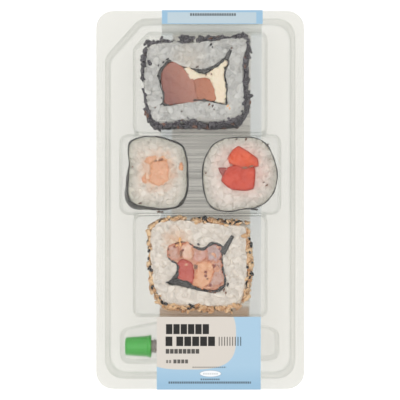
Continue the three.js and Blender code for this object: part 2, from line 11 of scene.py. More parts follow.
import logging
from collections.abc import Callable, Sequence
from dataclasses import dataclass, field
from enum import Enum
from typing import Any

import bmesh
import bpy
import numpy as np
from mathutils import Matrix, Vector
from mathutils.geometry import delaunay_2d_cdt

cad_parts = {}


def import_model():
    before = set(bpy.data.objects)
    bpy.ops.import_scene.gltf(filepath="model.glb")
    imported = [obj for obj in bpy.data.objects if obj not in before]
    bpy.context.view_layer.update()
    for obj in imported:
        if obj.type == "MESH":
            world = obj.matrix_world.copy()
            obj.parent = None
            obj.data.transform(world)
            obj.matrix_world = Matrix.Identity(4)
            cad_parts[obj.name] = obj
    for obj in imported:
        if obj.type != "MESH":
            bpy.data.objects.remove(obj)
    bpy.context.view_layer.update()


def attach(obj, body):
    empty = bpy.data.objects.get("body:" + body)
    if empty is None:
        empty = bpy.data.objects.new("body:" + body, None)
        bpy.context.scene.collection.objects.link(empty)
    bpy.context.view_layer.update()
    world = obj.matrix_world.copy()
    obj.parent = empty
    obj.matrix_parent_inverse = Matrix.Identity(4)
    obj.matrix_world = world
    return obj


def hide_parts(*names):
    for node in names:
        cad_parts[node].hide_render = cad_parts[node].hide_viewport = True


Array = np.ndarray
Colour = tuple[float, float, float]
Pairs = Sequence[tuple[float, float]]
Corners = Sequence[tuple[float, float, float]]
Crumbs = Sequence[tuple[float, ...]]
Piece = bpy.types.Object
Material = bpy.types.Material
Tree = bpy.types.NodeTree

LOG = logging.getLogger("sushi_tray")
MM = 0.001
TURN = 2 * np.pi


# ---- Levels of the pack ----


@dataclass(frozen=True)
class Levels:
    """Heights in the pack, and the sheets that set them, in millimetres."""

    pocket_floor: float = 0.8
    food: float = 1.0
    ridge: float = 6.0
    ledge: float = 12.0
    flange: float = 30.5
    film: float = 30.6
    film_thickness: float = 0.15
    flap: float = 30.85
    roll_top: float = 26.6
    maki_top: float = 27.0


LEVELS = Levels()


# ---- Points and flat outlines ----


def unit(vectors: Array) -> Array:
    """Each row divided by its length."""
    return vectors / np.linalg.norm(vectors, axis=-1, keepdims=True)


def polar(distance: float | Array, angle: Array) -> Array:
    """Flat points at distances from the origin in given directions."""
    return np.stack([distance * np.cos(angle), distance * np.sin(angle)], axis=-1)


def direction(points: Array) -> Array:
    """Direction of each point from the Z axis."""
    return np.arctan2(points[:, 1], points[:, 0])


def along_path(points: Array) -> Array:
    """Distance of each point of a path from its start, along the path."""
    return np.concatenate([[0.0], np.cumsum(np.linalg.norm(np.diff(points, axis=0), axis=1))])


def at_height(flat: Array, z: float | Array) -> Array:
    """Flat points set at a height, or each at its own."""
    return np.column_stack([flat, np.broadcast_to(z, len(flat))])


def stacked(loop: Array, z: Array) -> Array:
    """Rings for a loft: the loop once for each row of heights."""
    return np.concatenate([np.broadcast_to(loop, (len(z), *loop.shape)), z[:, :, None]], axis=-1)


def area(loop: Array) -> float:
    """Signed area of a closed loop of points, positive when it runs anticlockwise."""
    x, y = loop[:, 0], loop[:, 1]
    return 0.5 * float(np.sum(x * np.roll(y, -1) - np.roll(x, -1) * y))


def resampled(loop: Array, count: int) -> Array:
    """The same closed loop as a number of points spaced evenly along it, anticlockwise."""
    closed = np.vstack([loop, loop[:1]])
    along = along_path(closed)
    at = np.linspace(0.0, along[-1], count, endpoint=False)
    even = np.column_stack([np.interp(at, along, closed[:, k]) for k in (0, 1)])
    return even if area(even) > 0 else even[::-1].copy()


def smooth_loop(points: Pairs, count: int) -> Array:
    """A smooth closed loop through a few chosen points.

    Each stretch is a cubic in Hermite form, with the tangents of a centripetal Catmull-Rom spline, whose
    knots are spaced by the square root of the distance between points.

    Args:
        points: The chosen points in order.
        count: How many points the result has.

    Returns:
        Evenly spaced points, anticlockwise.
    """
    p1 = np.asarray(points, float)
    p0, p2, p3 = (np.roll(p1, shift, axis=0) for shift in (1, -1, -2))
    pairs = ((p0, p1), (p1, p2), (p2, p3))
    before, here, after = (np.sqrt(np.linalg.norm(b - a, axis=1))[:, None] for a, b in pairs)
    start = ((p1 - p0) / before - (p2 - p0) / (before + here) + (p2 - p1) / here) * here
    end = ((p2 - p1) / here - (p3 - p1) / (here + after) + (p3 - p2) / after) * here
    t = np.linspace(0.0, 1.0, 24, endpoint=False)[:, None, None]
    curve = (
        (2 * t**3 - 3 * t**2 + 1) * p1
        + (t**3 - 2 * t**2 + t) * start
        + (3 * t**2 - 2 * t**3) * p2
        + (t**3 - t**2) * end
    )
    return resampled(curve.transpose(1, 0, 2).reshape(-1, 2), count)


def rounded_loop(corners: Corners, spacing: float) -> Array:
    """A polygon with round corners, as evenly spaced points.

    The arc of a corner is centred on the corner's bisector, its radius over the sine of half the corner's
    angle away from the corner.

    Args:
        corners: Each corner as x, y and radius, anticlockwise.
        spacing: Distance between the points of the result.

    Returns:
        The points.
    """
    at, radius = np.split(np.array(corners, float), [2], axis=1)
    before = unit(np.roll(at, 1, axis=0) - at)
    after = unit(np.roll(at, -1, axis=0) - at)
    half = np.arccos(np.sum(before * after, axis=1, keepdims=True)) / 2
    bisector = unit(before + after)
    inward = np.sign(before[:, 1] * after[:, 0] - before[:, 0] * after[:, 1])[:, None]
    centre = at + bisector * radius / np.sin(half)
    middle = np.arctan2(-bisector[:, 1:], -bisector[:, :1])
    angle = middle + inward * (np.pi - 2 * half) * np.linspace(-0.5, 0.5, 17)
    loop = (centre[:, None, :] + polar(radius, angle)).reshape(-1, 2)
    length = np.sum(np.linalg.norm(loop - np.roll(loop, 1, axis=0), axis=1))
    return resampled(loop, max(12, int(length / spacing)))


def rectangle(left: float, low: float, right: float, high: float, radius: float) -> Corners:
    """Corners of a rectangle, anticlockwise, as x, y and radius."""
    return [(left, low, radius), (right, low, radius), (right, high, radius), (left, high, radius)]


def grown(loop: Array, distance: float | Array) -> Array:
    """The loop moved outwards along its normals by a distance, or inwards by a negative one."""
    along = unit(np.roll(loop, -1, axis=0) - np.roll(loop, 1, axis=0))
    normal = np.column_stack([along[:, 1], -along[:, 0]])
    return loop + normal * np.reshape(distance, (-1, 1))


def inside(loop: Array, points: Array) -> Array:
    """Whether each point lies inside a closed loop, by counting the edges that a level ray crosses."""
    x1, y1 = loop[:, 0], loop[:, 1]
    x2, y2 = np.roll(x1, -1), np.roll(y1, -1)
    px, py = points[:, :1], points[:, 1:2]
    spans = (y1 > py) != (y2 > py)
    rise = np.where(y2 == y1, 1.0, y2 - y1)
    return np.sum(spans & (px < (x2 - x1) * (py - y1) / rise + x1), axis=1) % 2 == 1


def nearest_on(loop: Array, points: Array) -> Array:
    """The point of a closed loop that lies nearest to each point."""
    start = loop[None]
    edge = np.roll(loop, -1, axis=0)[None] - start
    offset = points[:, None, :2] - start
    share = np.clip(np.sum(offset * edge, axis=2) / np.sum(edge * edge, axis=2), 0.0, 1.0)
    foot = start + share[:, :, None] * edge
    best = np.argmin(np.sum((points[:, None, :2] - foot) ** 2, axis=2), axis=1)
    return foot[np.arange(len(points)), best]


def depth_inside(loop: Array, points: Array) -> Array:
    """Distance of each point from a closed loop, positive inside it and negative outside."""
    away = np.linalg.norm(points[:, :2] - nearest_on(loop, points), axis=1)
    return np.where(inside(loop, points), away, -away)


def reach(loop: Array, angle: Array) -> Array:
    """Distance from the origin to a loop around it, in each direction."""
    return np.interp(angle, direction(loop), np.linalg.norm(loop, axis=1), period=TURN)


def staggered(low: Sequence[float], high: Sequence[float], spacing: float) -> Array:
    """Points of a triangular lattice that fills a box, one row each."""
    rows = np.arange(low[1], high[1], spacing * 0.866)
    columns = np.arange(low[0], high[0], spacing)
    x = columns[None, :] + 0.5 * spacing * (np.arange(len(rows))[:, None] % 2)
    y = np.broadcast_to(rows[:, None], x.shape)
    return np.column_stack([x.ravel(), y.ravel()])


def triangulated(
    flat: Array, edges: Sequence[tuple[int, int]], mode: int, merge: float
) -> tuple[Array, Array]:
    """Triangles between flat points.

    Args:
        flat: The points.
        edges: Pairs of points that have to be joined.
        mode: 0 for triangles over all points, 1 for those inside the edges only.
        merge: Points closer than this become one.

    Returns:
        The points, and the triangles as rows of indices, looking up.
    """
    points, _, faces, *_ = delaunay_2d_cdt([Vector(point) for point in flat], edges, [], mode, merge)
    return np.array([tuple(point) for point in points]), np.array(faces, int)


def filled(outline: Array, spacing: float = 0.5) -> tuple[Array, Array]:
    """Points and triangles that fill a flat outline, over a lattice of that spacing."""
    lattice = staggered(outline.min(axis=0), outline.max(axis=0), spacing)
    lattice = lattice[depth_inside(outline, lattice) > 0.6 * spacing]
    edges = [(i, (i + 1) % len(outline)) for i in range(len(outline))]
    return triangulated(np.vstack([outline, lattice]), edges, 1, 1e-5)


# ---- Meshes ----


@dataclass
class Shape:
    """Points of a mesh in millimetres, its polygons as arrays of triangles or quads, and values by point."""

    points: Array
    polygons: list[Array]
    values: dict[str, Array] = field(default_factory=dict)

    @property
    def copy(self) -> Array:
        """Number of the copy that each point belongs to, on scattered grains."""
        return self.values["copy"].astype(int)

    def turned_over(self) -> Shape:
        """The same shape with its faces looking the other way."""
        return Shape(self.points, [faces[:, ::-1] for faces in self.polygons], self.values)

    def moved(self, x: float, y: float) -> Shape:
        """The same shape moved level by x and y."""
        return Shape(self.points + np.array([x, y, 0.0]), self.polygons, self.values)


def joined(shapes: Sequence[Shape]) -> Shape:
    """Several shapes as one, with any value that a shape lacks taken as zero."""
    starts = np.cumsum([0] + [len(shape.points) for shape in shapes])
    names = {name for shape in shapes for name in shape.values}
    return Shape(
        np.vstack([shape.points for shape in shapes]),
        [faces + start for shape, start in zip(shapes, starts, strict=False) for faces in shape.polygons],
        {
            name: np.concatenate([shape.values.get(name, np.zeros(len(shape.points))) for shape in shapes])
            for name in names
        },
    )


def lofted(rings: Array, closed: bool = False) -> Shape:
    """A surface through rings of equally many points.

    Args:
        rings: Points by ring, by place round the ring, by coordinate.
        closed: Whether the last ring joins up with the first, as on a tyre.

    Returns:
        Quads that look outwards where the rings run anticlockwise and are stacked upwards.
    """
    count, around = rings.shape[:2]
    ring = np.arange(count if closed else count - 1)[:, None]
    place = np.arange(around)[None, :]
    above, beside = (ring + 1) % count, (place + 1) % around
    corners = [ring * around + place, ring * around + beside, above * around + beside, above * around + place]
    return Shape(rings.reshape(-1, 3), [np.stack(corners, axis=-1).reshape(-1, 4)])


def plate(outline: Array, z: float) -> Shape:
    """A flat filled outline at a height, looking up."""
    flat, triangles = filled(outline)
    return Shape(at_height(flat, z), [triangles])


def revolved(profile: Pairs, segments: int) -> Shape:
    """A profile of height and radius turned about the Z axis, open where its radius isn't zero at an end."""
    height, radius = np.asarray(profile, float).T
    angle = np.linspace(0.0, TURN, segments, endpoint=False)
    return lofted(np.dstack([polar(radius[:, None], angle), np.repeat(height[:, None], segments, 1)]))


def read(items: Any, name: str, width: int = 1, kind: type = float) -> Array:
    """One property of all of a mesh's items as an array, with a number of values for each item."""
    values = np.empty(len(items) * width, kind)
    items.foreach_get(name, values)
    return values


def mesh_of(name: str, shape: Shape) -> bpy.types.Mesh:
    """A mesh in metres from a shape in millimetres, with its values as point attributes."""
    mesh = bpy.data.meshes.new(name)
    mesh.vertices.add(len(shape.points))
    mesh.vertices.foreach_set("co", (shape.points * MM).ravel())
    corners = np.concatenate([faces.ravel() for faces in shape.polygons])
    sizes = np.concatenate([np.full(len(faces), faces.shape[1]) for faces in shape.polygons])
    mesh.loops.add(len(corners))
    mesh.loops.foreach_set("vertex_index", corners)
    mesh.polygons.add(len(sizes))
    mesh.polygons.foreach_set("loop_start", np.concatenate([[0], np.cumsum(sizes)[:-1]]))
    for value_name, values in shape.values.items():
        attribute = mesh.attributes.new(value_name, "FLOAT", "POINT")
        attribute.data.foreach_set("value", values.astype(np.float32))
    mesh.update(calc_edges=True)
    mesh.validate()
    return mesh


def edited(mesh: bpy.types.Mesh, edit: Callable[[bmesh.types.BMesh], None]) -> None:
    """Runs an edit on a mesh by way of bmesh."""
    inner = bmesh.new()
    inner.from_mesh(mesh)
    edit(inner)
    inner.to_mesh(mesh)
    inner.free()


def creased(mesh: bpy.types.Mesh, angle: float) -> None:
    """Marks as sharp the edges of open borders, and those bent by more than an angle in degrees."""
    edge = read(mesh.loops, "edge_index", kind=int)
    sizes = read(mesh.polygons, "loop_total", kind=int)
    normal = read(mesh.polygons, "normal", 3).reshape(-1, 3)
    order = np.argsort(edge, kind="stable")
    edge, face = edge[order], np.repeat(np.arange(len(sizes)), sizes)[order]
    shared = np.flatnonzero(edge[1:] == edge[:-1])
    bend = np.sum(normal[face[shared]] * normal[face[shared + 1]], axis=1)
    sharp = np.ones(len(mesh.edges), bool)
    sharp[edge[shared]] = bend < np.cos(np.radians(angle))
    mesh.attributes.new("sharp_edge", "BOOLEAN", "EDGE").data.foreach_set("value", sharp)


def written(name: str, shape: Shape, weld: float = 0.0, crease: float = 0.0) -> Piece:
    """Writes a shape into a mesh object at the origin, smoothly shaded.

    Args:
        name: Name of the object.
        shape: What to write.
        weld: Points closer than this many millimetres become one, if above zero.
        crease: Edges bent by more than this many degrees stay sharp, if above zero.

    Returns:
        The object, linked to the scene.
    """
    mesh = mesh_of(name, shape)
    if weld > 0:
        edited(mesh, lambda inner: bmesh.ops.remove_doubles(inner, verts=inner.verts, dist=weld * MM))
    mesh.polygons.foreach_set("use_smooth", np.ones(len(mesh.polygons), bool))
    if crease > 0:
        creased(mesh, crease)
    piece = bpy.data.objects.new(name, mesh)
    bpy.context.scene.collection.objects.link(piece)
    return piece


def cut_level(shape: Shape) -> Shape:
    """What lies below z = 0 of closed grains, as triangles, each grain closed again with a flat face."""

    def cut(inner: bmesh.types.BMesh) -> None:
        """Cuts off what lies above, fills the rims that are left, and splits all into triangles."""
        everything = [*inner.verts, *inner.edges, *inner.faces]
        rims = bmesh.ops.bisect_plane(
            inner, geom=everything, dist=1e-8, plane_co=(0, 0, 0), plane_no=(0, 0, 1), clear_outer=True
        )["geom_cut"]
        rims = [edge for edge in rims if isinstance(edge, bmesh.types.BMEdge)]
        bmesh.ops.holes_fill(inner, edges=rims, sides=0)
        bmesh.ops.triangulate(inner, faces=inner.faces)

    mesh = mesh_of("cut", shape)
    edited(mesh, cut)
    points = read(mesh.vertices, "co", 3).reshape(-1, 3) / MM
    corners = read(mesh.loops, "vertex_index", kind=int).reshape(-1, 3)
    copy = np.round(read(mesh.attributes["copy"].data, "value", kind=np.float32))
    bpy.data.meshes.remove(mesh)
    return Shape(points, [corners], {"copy": copy})


def dressed(piece: Piece, materials: Material | Sequence[Material], slot: str, *nodes: str) -> Piece:
    """Gives a piece its materials and ties it to the frame.

    Args:
        piece: The finished piece.
        materials: Its material, or several in the order of its faces' material numbers.
        slot: Name of the slot that its finish belongs to; it is only logged.
        nodes: The solids that it stands for.

    Returns:
        The piece.
    """
    for material in [materials] if isinstance(materials, Material) else materials:
        piece.data.materials.append(material)
    if nodes:
        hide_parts(*nodes)
    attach(piece, "root")
    LOG.info("%s: %d faces, slot %s", piece.name, len(piece.data.polygons), slot)
    return piece


# ---- Relief and scattered grains ----


class Ripple:
    """Smooth seeded relief: the mean of sine waves of random directions, lengths and phases."""

    def __init__(self, seed: int, wavelength: float, waves: int = 14) -> None:
        """Draws the waves, whose crests are typically a wavelength in millimetres apart."""
        draw = np.random.default_rng(seed)
        way = unit(draw.normal(size=(waves, 3)))
        self.number = way * (TURN / (wavelength * draw.uniform(0.6, 1.6, (waves, 1))))
        self.phase = draw.uniform(0.0, TURN, waves)

    def at(self, points: Array) -> Array:
        """The relief at flat or solid points, mostly from -1 to 1."""
        crests = points @ self.number[:, : points.shape[1]].T + self.phase
        return np.sin(crests).sum(axis=1) * np.sqrt(1.4 / len(self.phase))


@dataclass(frozen=True)
class Grain:
    """A grain or seed lying along +X: an ellipsoid, blunter than a true one and wider at one end.

    Attributes:
        taper: Share by which one end is wider than the middle.
        rings: Rings of points between the two tips.
        sides: Points in each ring.
    """

    length: float
    width: float
    thickness: float
    taper: float = 0.0
    rings: int = 5
    sides: int = 8

    def shape(self) -> Shape:
        """The grain's surface: rings at even angles from tip to tip, and a fan at each tip."""
        tip_angle = np.pi * np.arange(1, self.rings + 1) / (self.rings + 1)
        swell = (np.sin(tip_angle) ** 0.8 * (1 - self.taper * np.cos(tip_angle)))[:, None]
        side = np.linspace(0.0, TURN, self.sides, endpoint=False)
        x = np.broadcast_to(-np.cos(tip_angle)[:, None], (self.rings, self.sides))
        body = lofted(np.dstack([x, polar(swell, side)]) / 2)
        points = np.vstack([body.points, [[-0.5, 0, 0], [0.5, 0, 0]]])
        points = points * [self.length, self.width, self.thickness]
        first = np.arange(self.sides)
        last = first + (self.rings - 1) * self.sides
        tips = np.full((2, self.sides), [[len(points) - 2], [len(points) - 1]])
        fans = [
            np.column_stack([tips[0], first, np.roll(first, -1)]),
            np.column_stack([tips[1], np.roll(last, -1), last]),
        ]
        return Shape(points, [body.polygons[0][:, ::-1], *fans])


def beside(way: Array) -> Array:
    """A level unit direction square to each given one."""
    helper = np.where(np.abs(way[:, 2:]) > 0.9, [[1.0, 0.0, 0.0]], [[0.0, 0.0, 1.0]])
    return unit(np.cross(helper, way))


def frames_on(normal: Array, spin: Array) -> Array:
    """Turned axes for things that lie on a surface.

    Args:
        normal: Outward unit normals, one row each.
        spin: Angle of each thing about its normal.

    Returns:
        A matrix for each, whose columns are where the thing's X, Y and Z axes go.
    """
    first = beside(normal)
    x = np.cos(spin)[:, None] * first + np.sin(spin)[:, None] * np.cross(normal, first)
    return np.stack([x, np.cross(normal, x), normal], axis=-1)


def frames_along(way: Array) -> Array:
    """Turned axes for things whose X axis points along each given unit direction."""
    side = beside(way)
    return np.stack([way, side, np.cross(way, side)], axis=-1)


def scattered(grain: Grain, at: Array, frames: Array, scale: Array) -> Shape:
    """Copies of a grain as one shape.

    Args:
        grain: What to copy.
        at: Where the middle of each copy goes, one row each.
        frames: The turned axes of each copy.
        scale: Size of each copy along its own three axes.

    Returns:
        All copies, with the copy's number at each point as the value "copy".
    """
    one = grain.shape()
    points = at[:, None, :] + np.einsum("nij,nvj->nvi", frames, one.points[None] * scale[:, None, :])
    shift = (np.arange(len(at)) * len(one.points))[:, None, None]
    polygons = [(faces[None] + shift).reshape(-1, faces.shape[1]) for faces in one.polygons]
    return Shape(points.reshape(-1, 3), polygons, {"copy": np.repeat(np.arange(len(at)), len(one.points))})


# ---- Shader building blocks ----


def fed(made: Any, inputs: dict[str | int, Any]) -> Any:
    """Links sockets into a node's inputs by name or number, sets other values there, and returns the node."""
    for key, value in inputs.items():
        if isinstance(value, bpy.types.NodeSocket):
            made.id_data.links.new(value, made.inputs[key])
        else:
            made.inputs[key].default_value = value
    return made


def node(tree: Tree, kind: str, inputs: dict[str | int, Any] | None = None, **settings: Any) -> Any:
    """Adds a shader node.

    Args:
        tree: The tree that gets it.
        kind: Its type, without the word ShaderNode in front.
        inputs: Its inputs by name or number, as sockets or values.
        settings: Its properties.

    Returns:
        The node.
    """
    made = tree.nodes.new(f"ShaderNode{kind}")
    for key, value in settings.items():
        setattr(made, key, value)
    return fed(made, inputs or {})


def maths(tree: Tree, operation: str, *values: Any, clamp: bool = False) -> Any:
    """The output of a Math node."""
    return node(tree, "Math", dict(enumerate(values)), operation=operation, use_clamp=clamp).outputs[0]


def times(tree: Tree, first: Any, *others: Any) -> Any:
    """The product of several values, multiplied from the first on."""
    for value in others:
        first = maths(tree, "MULTIPLY", first, value)
    return first


def less(tree: Tree, first: Any, second: Any) -> Any:
    """The first value less the second."""
    return maths(tree, "SUBTRACT", first, second)


def ramp(tree: Tree, value: Any, start: float, end: float, low: float = 0.0, high: float = 1.0) -> Any:
    """A value that runs from low to high as another runs from start to end, and stays there."""
    return node(tree, "MapRange", {0: value, 1: start, 2: end, 3: low, 4: high}).outputs[0]


def noise(tree: Tree, place: Any, scale: Any, detail: float) -> Any:
    """The output of a Noise Texture."""
    return node(tree, "TexNoise", {"Vector": place, "Scale": scale, "Detail": detail}).outputs[0]


def bumped(tree: Tree, height: Any, strength: Any, distance: float) -> Any:
    """The normal of a relief, whose depth is given in metres."""
    return node(tree, "Bump", {"Strength": strength, "Distance": distance, "Height": height}).outputs[0]


def attribute(tree: Tree, name: str) -> Any:
    """A value that the mesh holds at its points."""
    return node(tree, "Attribute", attribute_name=name).outputs["Fac"]


def parted(tree: Tree, place: Any) -> Any:
    """The three coordinates of a place."""
    return node(tree, "SeparateXYZ", {0: place}).outputs


def opaque(colour: Any) -> Any:
    """A colour with alpha 1 for a socket's value, or the socket it was given."""
    return (*colour, 1.0) if isinstance(colour, tuple) else colour


def mixed(tree: Tree, factor: Any, first: Any, second: Any) -> Any:
    """The output of a colour mix, first at factor 0 and second at factor 1."""
    values = {0: factor, 6: opaque(first), 7: opaque(second)}
    return node(tree, "Mix", values, data_type="RGBA").outputs[2]


def placed_pattern(tree: Tree, centre: Sequence[float] = (0, 0, 0)) -> Any:
    """Object coordinates in millimetres, centred on a point given in metres."""
    source = node(tree, "TexCoord").outputs["Object"]
    away = tuple(-place / MM for place in centre)
    return node(tree, "Mapping", {0: source, "Location": away, "Scale": (1 / MM,) * 3}).outputs[0]


def shared(name: str, inputs: str, outputs: str = "Mask") -> Callable[[Callable], Callable[..., Any]]:
    """Makes a node group of a function that wires its nodes, and a function that places the group.

    Args:
        name: Name of the group.
        inputs: Names of its inputs after Vector, parted by commas; they are numbers.
        outputs: Names of its outputs, of which Normal is a vector.

    Returns:
        The decorator. What it makes takes a tree and the group's inputs in order, and returns its outputs.
    """

    def decorated(wire: Callable) -> Callable[..., Any]:
        """Wraps the function that wires the nodes, which takes the tree and its input sockets."""

        def built() -> Tree:
            """The group, built on first use."""
            tree = bpy.data.node_groups.new(name, "ShaderNodeTree")
            for way, names in (("INPUT", f"Vector, {inputs}"), ("OUTPUT", outputs)):
                for socket in names.split(", "):
                    kind = "Vector" if socket in ("Vector", "Normal") else "Float"
                    tree.interface.new_socket(socket, in_out=way, socket_type=f"NodeSocket{kind}")
            given, out = tree.nodes.new("NodeGroupInput"), tree.nodes.new("NodeGroupOutput")
            fed(out, dict(enumerate(wire(tree, *list(given.outputs)[:-1]))))
            return tree

        def placed(tree: Tree, *values: Any) -> Any:
            """Places the group in a tree, fed with its inputs in order."""
            made = tree.nodes.new("ShaderNodeGroup")
            made.node_tree = bpy.data.node_groups.get(name) or built()
            return fed(made, dict(enumerate(values))).outputs

        return placed

    return decorated


@shared("mottle", "Scale, Contrast, Bump", "Mask, Normal")
def mottle(tree: Tree, place: Any, scale: Any, contrast: Any, bump: Any) -> Sequence[Any]:
    """Blotches and fine relief: a mask from two scales of noise, and a normal bumped by the finer one."""
    wide, fine = noise(tree, place, scale, 3.0), noise(tree, place, times(tree, scale, 4.3), 2.0)
    blend = maths(tree, "MULTIPLY_ADD", fine, 0.35, times(tree, wide, 0.65))
    mask = maths(tree, "ADD", times(tree, less(tree, blend, 0.5), contrast), 0.5, clamp=True)
    return mask, bumped(tree, fine, bump, 0.0004)


@shared("printed_bar", "Left, Right, Low, High, Block, Gap")
def printed_bar(
    tree: Tree, place: Any, left: Any, right: Any, low: Any, high: Any, block: Any, gap: Any
) -> Sequence[Any]:
    """A printed bar: 1 inside a rectangle that blank gaps cut into blocks of even width."""
    x, y, _ = parted(tree, place)
    inner = maths(tree, "MINIMUM", less(tree, x, left), less(tree, right, x))
    upper = maths(tree, "MINIMUM", less(tree, y, low), less(tree, high, y))
    solid = maths(tree, "MULTIPLY_ADD", maths(tree, "MINIMUM", inner, upper), 12.0, 0.5, clamp=True)
    phase = maths(tree, "FRACT", maths(tree, "DIVIDE", less(tree, x, left), block))
    return [times(tree, solid, maths(tree, "GREATER_THAN", phase, gap))]


@shared("printed_oval", "X, Y, Half width, Half height, Power")
def printed_oval(
    tree: Tree, place: Any, x: Any, y: Any, width: Any, height: Any, power: Any
) -> Sequence[Any]:
    """A printed oval: 1 where |x/a|^n + |y/b|^n is under 1, about its centre."""
    across, up, _ = parted(tree, place)
    offsets = [(less(tree, across, x), width), (less(tree, up, y), height)]
    shares = [maths(tree, "DIVIDE", offset, half) for offset, half in offsets]
    terms = [maths(tree, "POWER", maths(tree, "ABSOLUTE", share), power) for share in shares]
    excess = less(tree, maths(tree, "ADD", *terms), 1.0)
    return [maths(tree, "MULTIPLY_ADD", excess, -30.0, 0.5, clamp=True)]


@shared("round_spots", "Scale, Radius")
def round_spots(tree: Tree, place: Any, scale: Any, radius: Any) -> Sequence[Any]:
    """Round spots, one to a cell, each with its own size: 1 inside them."""
    cells = node(tree, "TexVoronoi", {"Vector": place, "Scale": scale}).outputs
    chance = node(tree, "SeparateColor", {0: cells["Color"]}).outputs[0]
    excess = less(tree, times(tree, chance, radius), cells["Distance"])
    return [maths(tree, "MULTIPLY_ADD", excess, 12.0, 0.5, clamp=True)]


def principled(name: str, values: dict[str, Any]) -> tuple[Material, Tree, Any]:
    """Starts a material around one Principled BSDF.

    Args:
        name: Name of the material.
        values: Values of the shader's sockets by name.

    Returns:
        The material, its tree and its shader node.
    """
    material = bpy.data.materials.new(name)
    material.use_nodes = True
    shader = material.node_tree.nodes["Principled BSDF"]
    return material, material.node_tree, fed(shader, values)


def through(tree: Tree, share: Any, shader: Any, clear: Any) -> None:
    """Sends to the surface a share of the clear shader, and the rest of the other."""
    blend = node(tree, "MixShader", {0: share, 1: shader.outputs[0], 2: clear.outputs[0]})
    fed(tree.nodes["Material Output"], {"Surface": blend.outputs[0]})


# ---- Finishes ----


@dataclass(frozen=True)
class ClearPlastic:
    """Thin clear plastic: part of what is seen passes straight through it, and lamps do so wholly.

    Attributes:
        tint: What a surface met square on leaves of the light.
        steep_tint: What a surface seen at a slant leaves of it, as where the sheet bends.
        straight: Share of the view that passes straight through.
        bump: Strength of the sheet's faint unevenness.
        bump_scale: How many ripples the sheet has to the metre, or so.
        milk: Share of milky plastic in it.
    """

    name: str
    tint: Colour
    steep_tint: Colour
    straight: float = 0.6
    roughness: float = 0.05
    bump: float = 0.1
    bump_scale: float = 60.0
    milk: float = 0.0

    def material(self) -> Material:
        """Glass for what is seen through it, and clear to lamps and to light that food and paper throw."""
        values = {
            "Base Color": opaque(self.tint),
            "Roughness": self.roughness,
            "Transmission Weight": 1.0 - self.milk,
            "IOR": 1.45,
        }
        material, tree, shader = principled(self.name, values)
        uneven = noise(tree, node(tree, "TexCoord").outputs["Object"], self.bump_scale, 1.0)
        fed(shader, {"Normal": bumped(tree, uneven, self.bump, 0.001)})
        path = node(tree, "LightPath").outputs
        lamps = maths(tree, "MAXIMUM", path["Is Shadow Ray"], path["Is Diffuse Ray"])
        passing = maths(tree, "MAXIMUM", lamps, self.straight)
        facing = node(tree, "LayerWeight", {"Blend": 0.5}).outputs["Facing"]
        bend = times(tree, facing, less(tree, 1.0, facing), 4.0)
        steepness = maths(tree, "POWER", bend, 1.6, clamp=True)
        clear = node(tree, "BsdfTransparent", {"Color": mixed(tree, steepness, self.tint, self.steep_tint)})
        through(tree, passing, shader, clear)
        return material


@dataclass(frozen=True)
class Food:
    """A moist food surface: two colours in soft blotches, with fine relief.

    Attributes:
        scale: Blotches to the millimetre, or so.
        contrast: How sharply the two colours part.
        bump: Strength of the fine relief.
        soft: Weight of the light that passes through the food.
        edge: Colour along the border of its cut face, which fades inwards.
        edge_weight: Strength of that colour.
        coat: Weight of a wet film on the surface.
        centre: A point in metres that the pattern is laid out from.
        lean: How much paler it gets to the millimetre towards +X and towards +Y.
        spots: Dark spots to the millimetre; none at zero.
    """

    name: str
    light: Colour
    dark: Colour
    scale: float = 0.35
    contrast: float = 2.5
    bump: float = 0.4
    roughness: float = 0.38
    soft: float = 0.25
    edge: Colour = (0.3, 0.1, 0.06)
    edge_weight: float = 0.0
    coat: float = 0.0
    centre: tuple[float, float, float] = (0.0, 0.0, 0.0)
    lean: tuple[float, float] = (0.0, 0.0)
    spots: float = 0.0
    spot_colour: Colour = (0.16, 0.04, 0.03)

    def material(self) -> Material:
        """Blotches from the shared group, with dark spots and a coloured border where the food has them."""
        values = {
            "Roughness": self.roughness,
            "Specular IOR Level": 0.35,
            "Subsurface Weight": self.soft,
            "Subsurface Radius": (1.0, 0.45, 0.3),
            "Subsurface Scale": 0.0012,
            "Coat Weight": self.coat,
            "Coat Roughness": 0.15,
        }
        material, tree, shader = principled(self.name, values)
        place = placed_pattern(tree, self.centre)
        blotch, normal = mottle(tree, place, self.scale, self.contrast, self.bump)
        slope = node(tree, "VectorMath", {0: place, 1: (*self.lean, 0)}, operation="DOT_PRODUCT")
        pale = maths(tree, "ADD", blotch, slope.outputs["Value"], clamp=True)
        colour = mixed(tree, pale, self.dark, self.light)
        if self.edge_weight:
            near = maths(tree, "SUBTRACT", 1.0, attribute(tree, "inward"), clamp=True)
            colour = mixed(tree, times(tree, near, self.edge_weight), colour, self.edge)
        if self.spots:
            (spot,) = round_spots(tree, place, self.spots, 0.42)
            colour = mixed(tree, times(tree, spot, 0.9), colour, self.spot_colour)
        fed(shader, {"Base Color": colour, "Normal": normal})
        return material


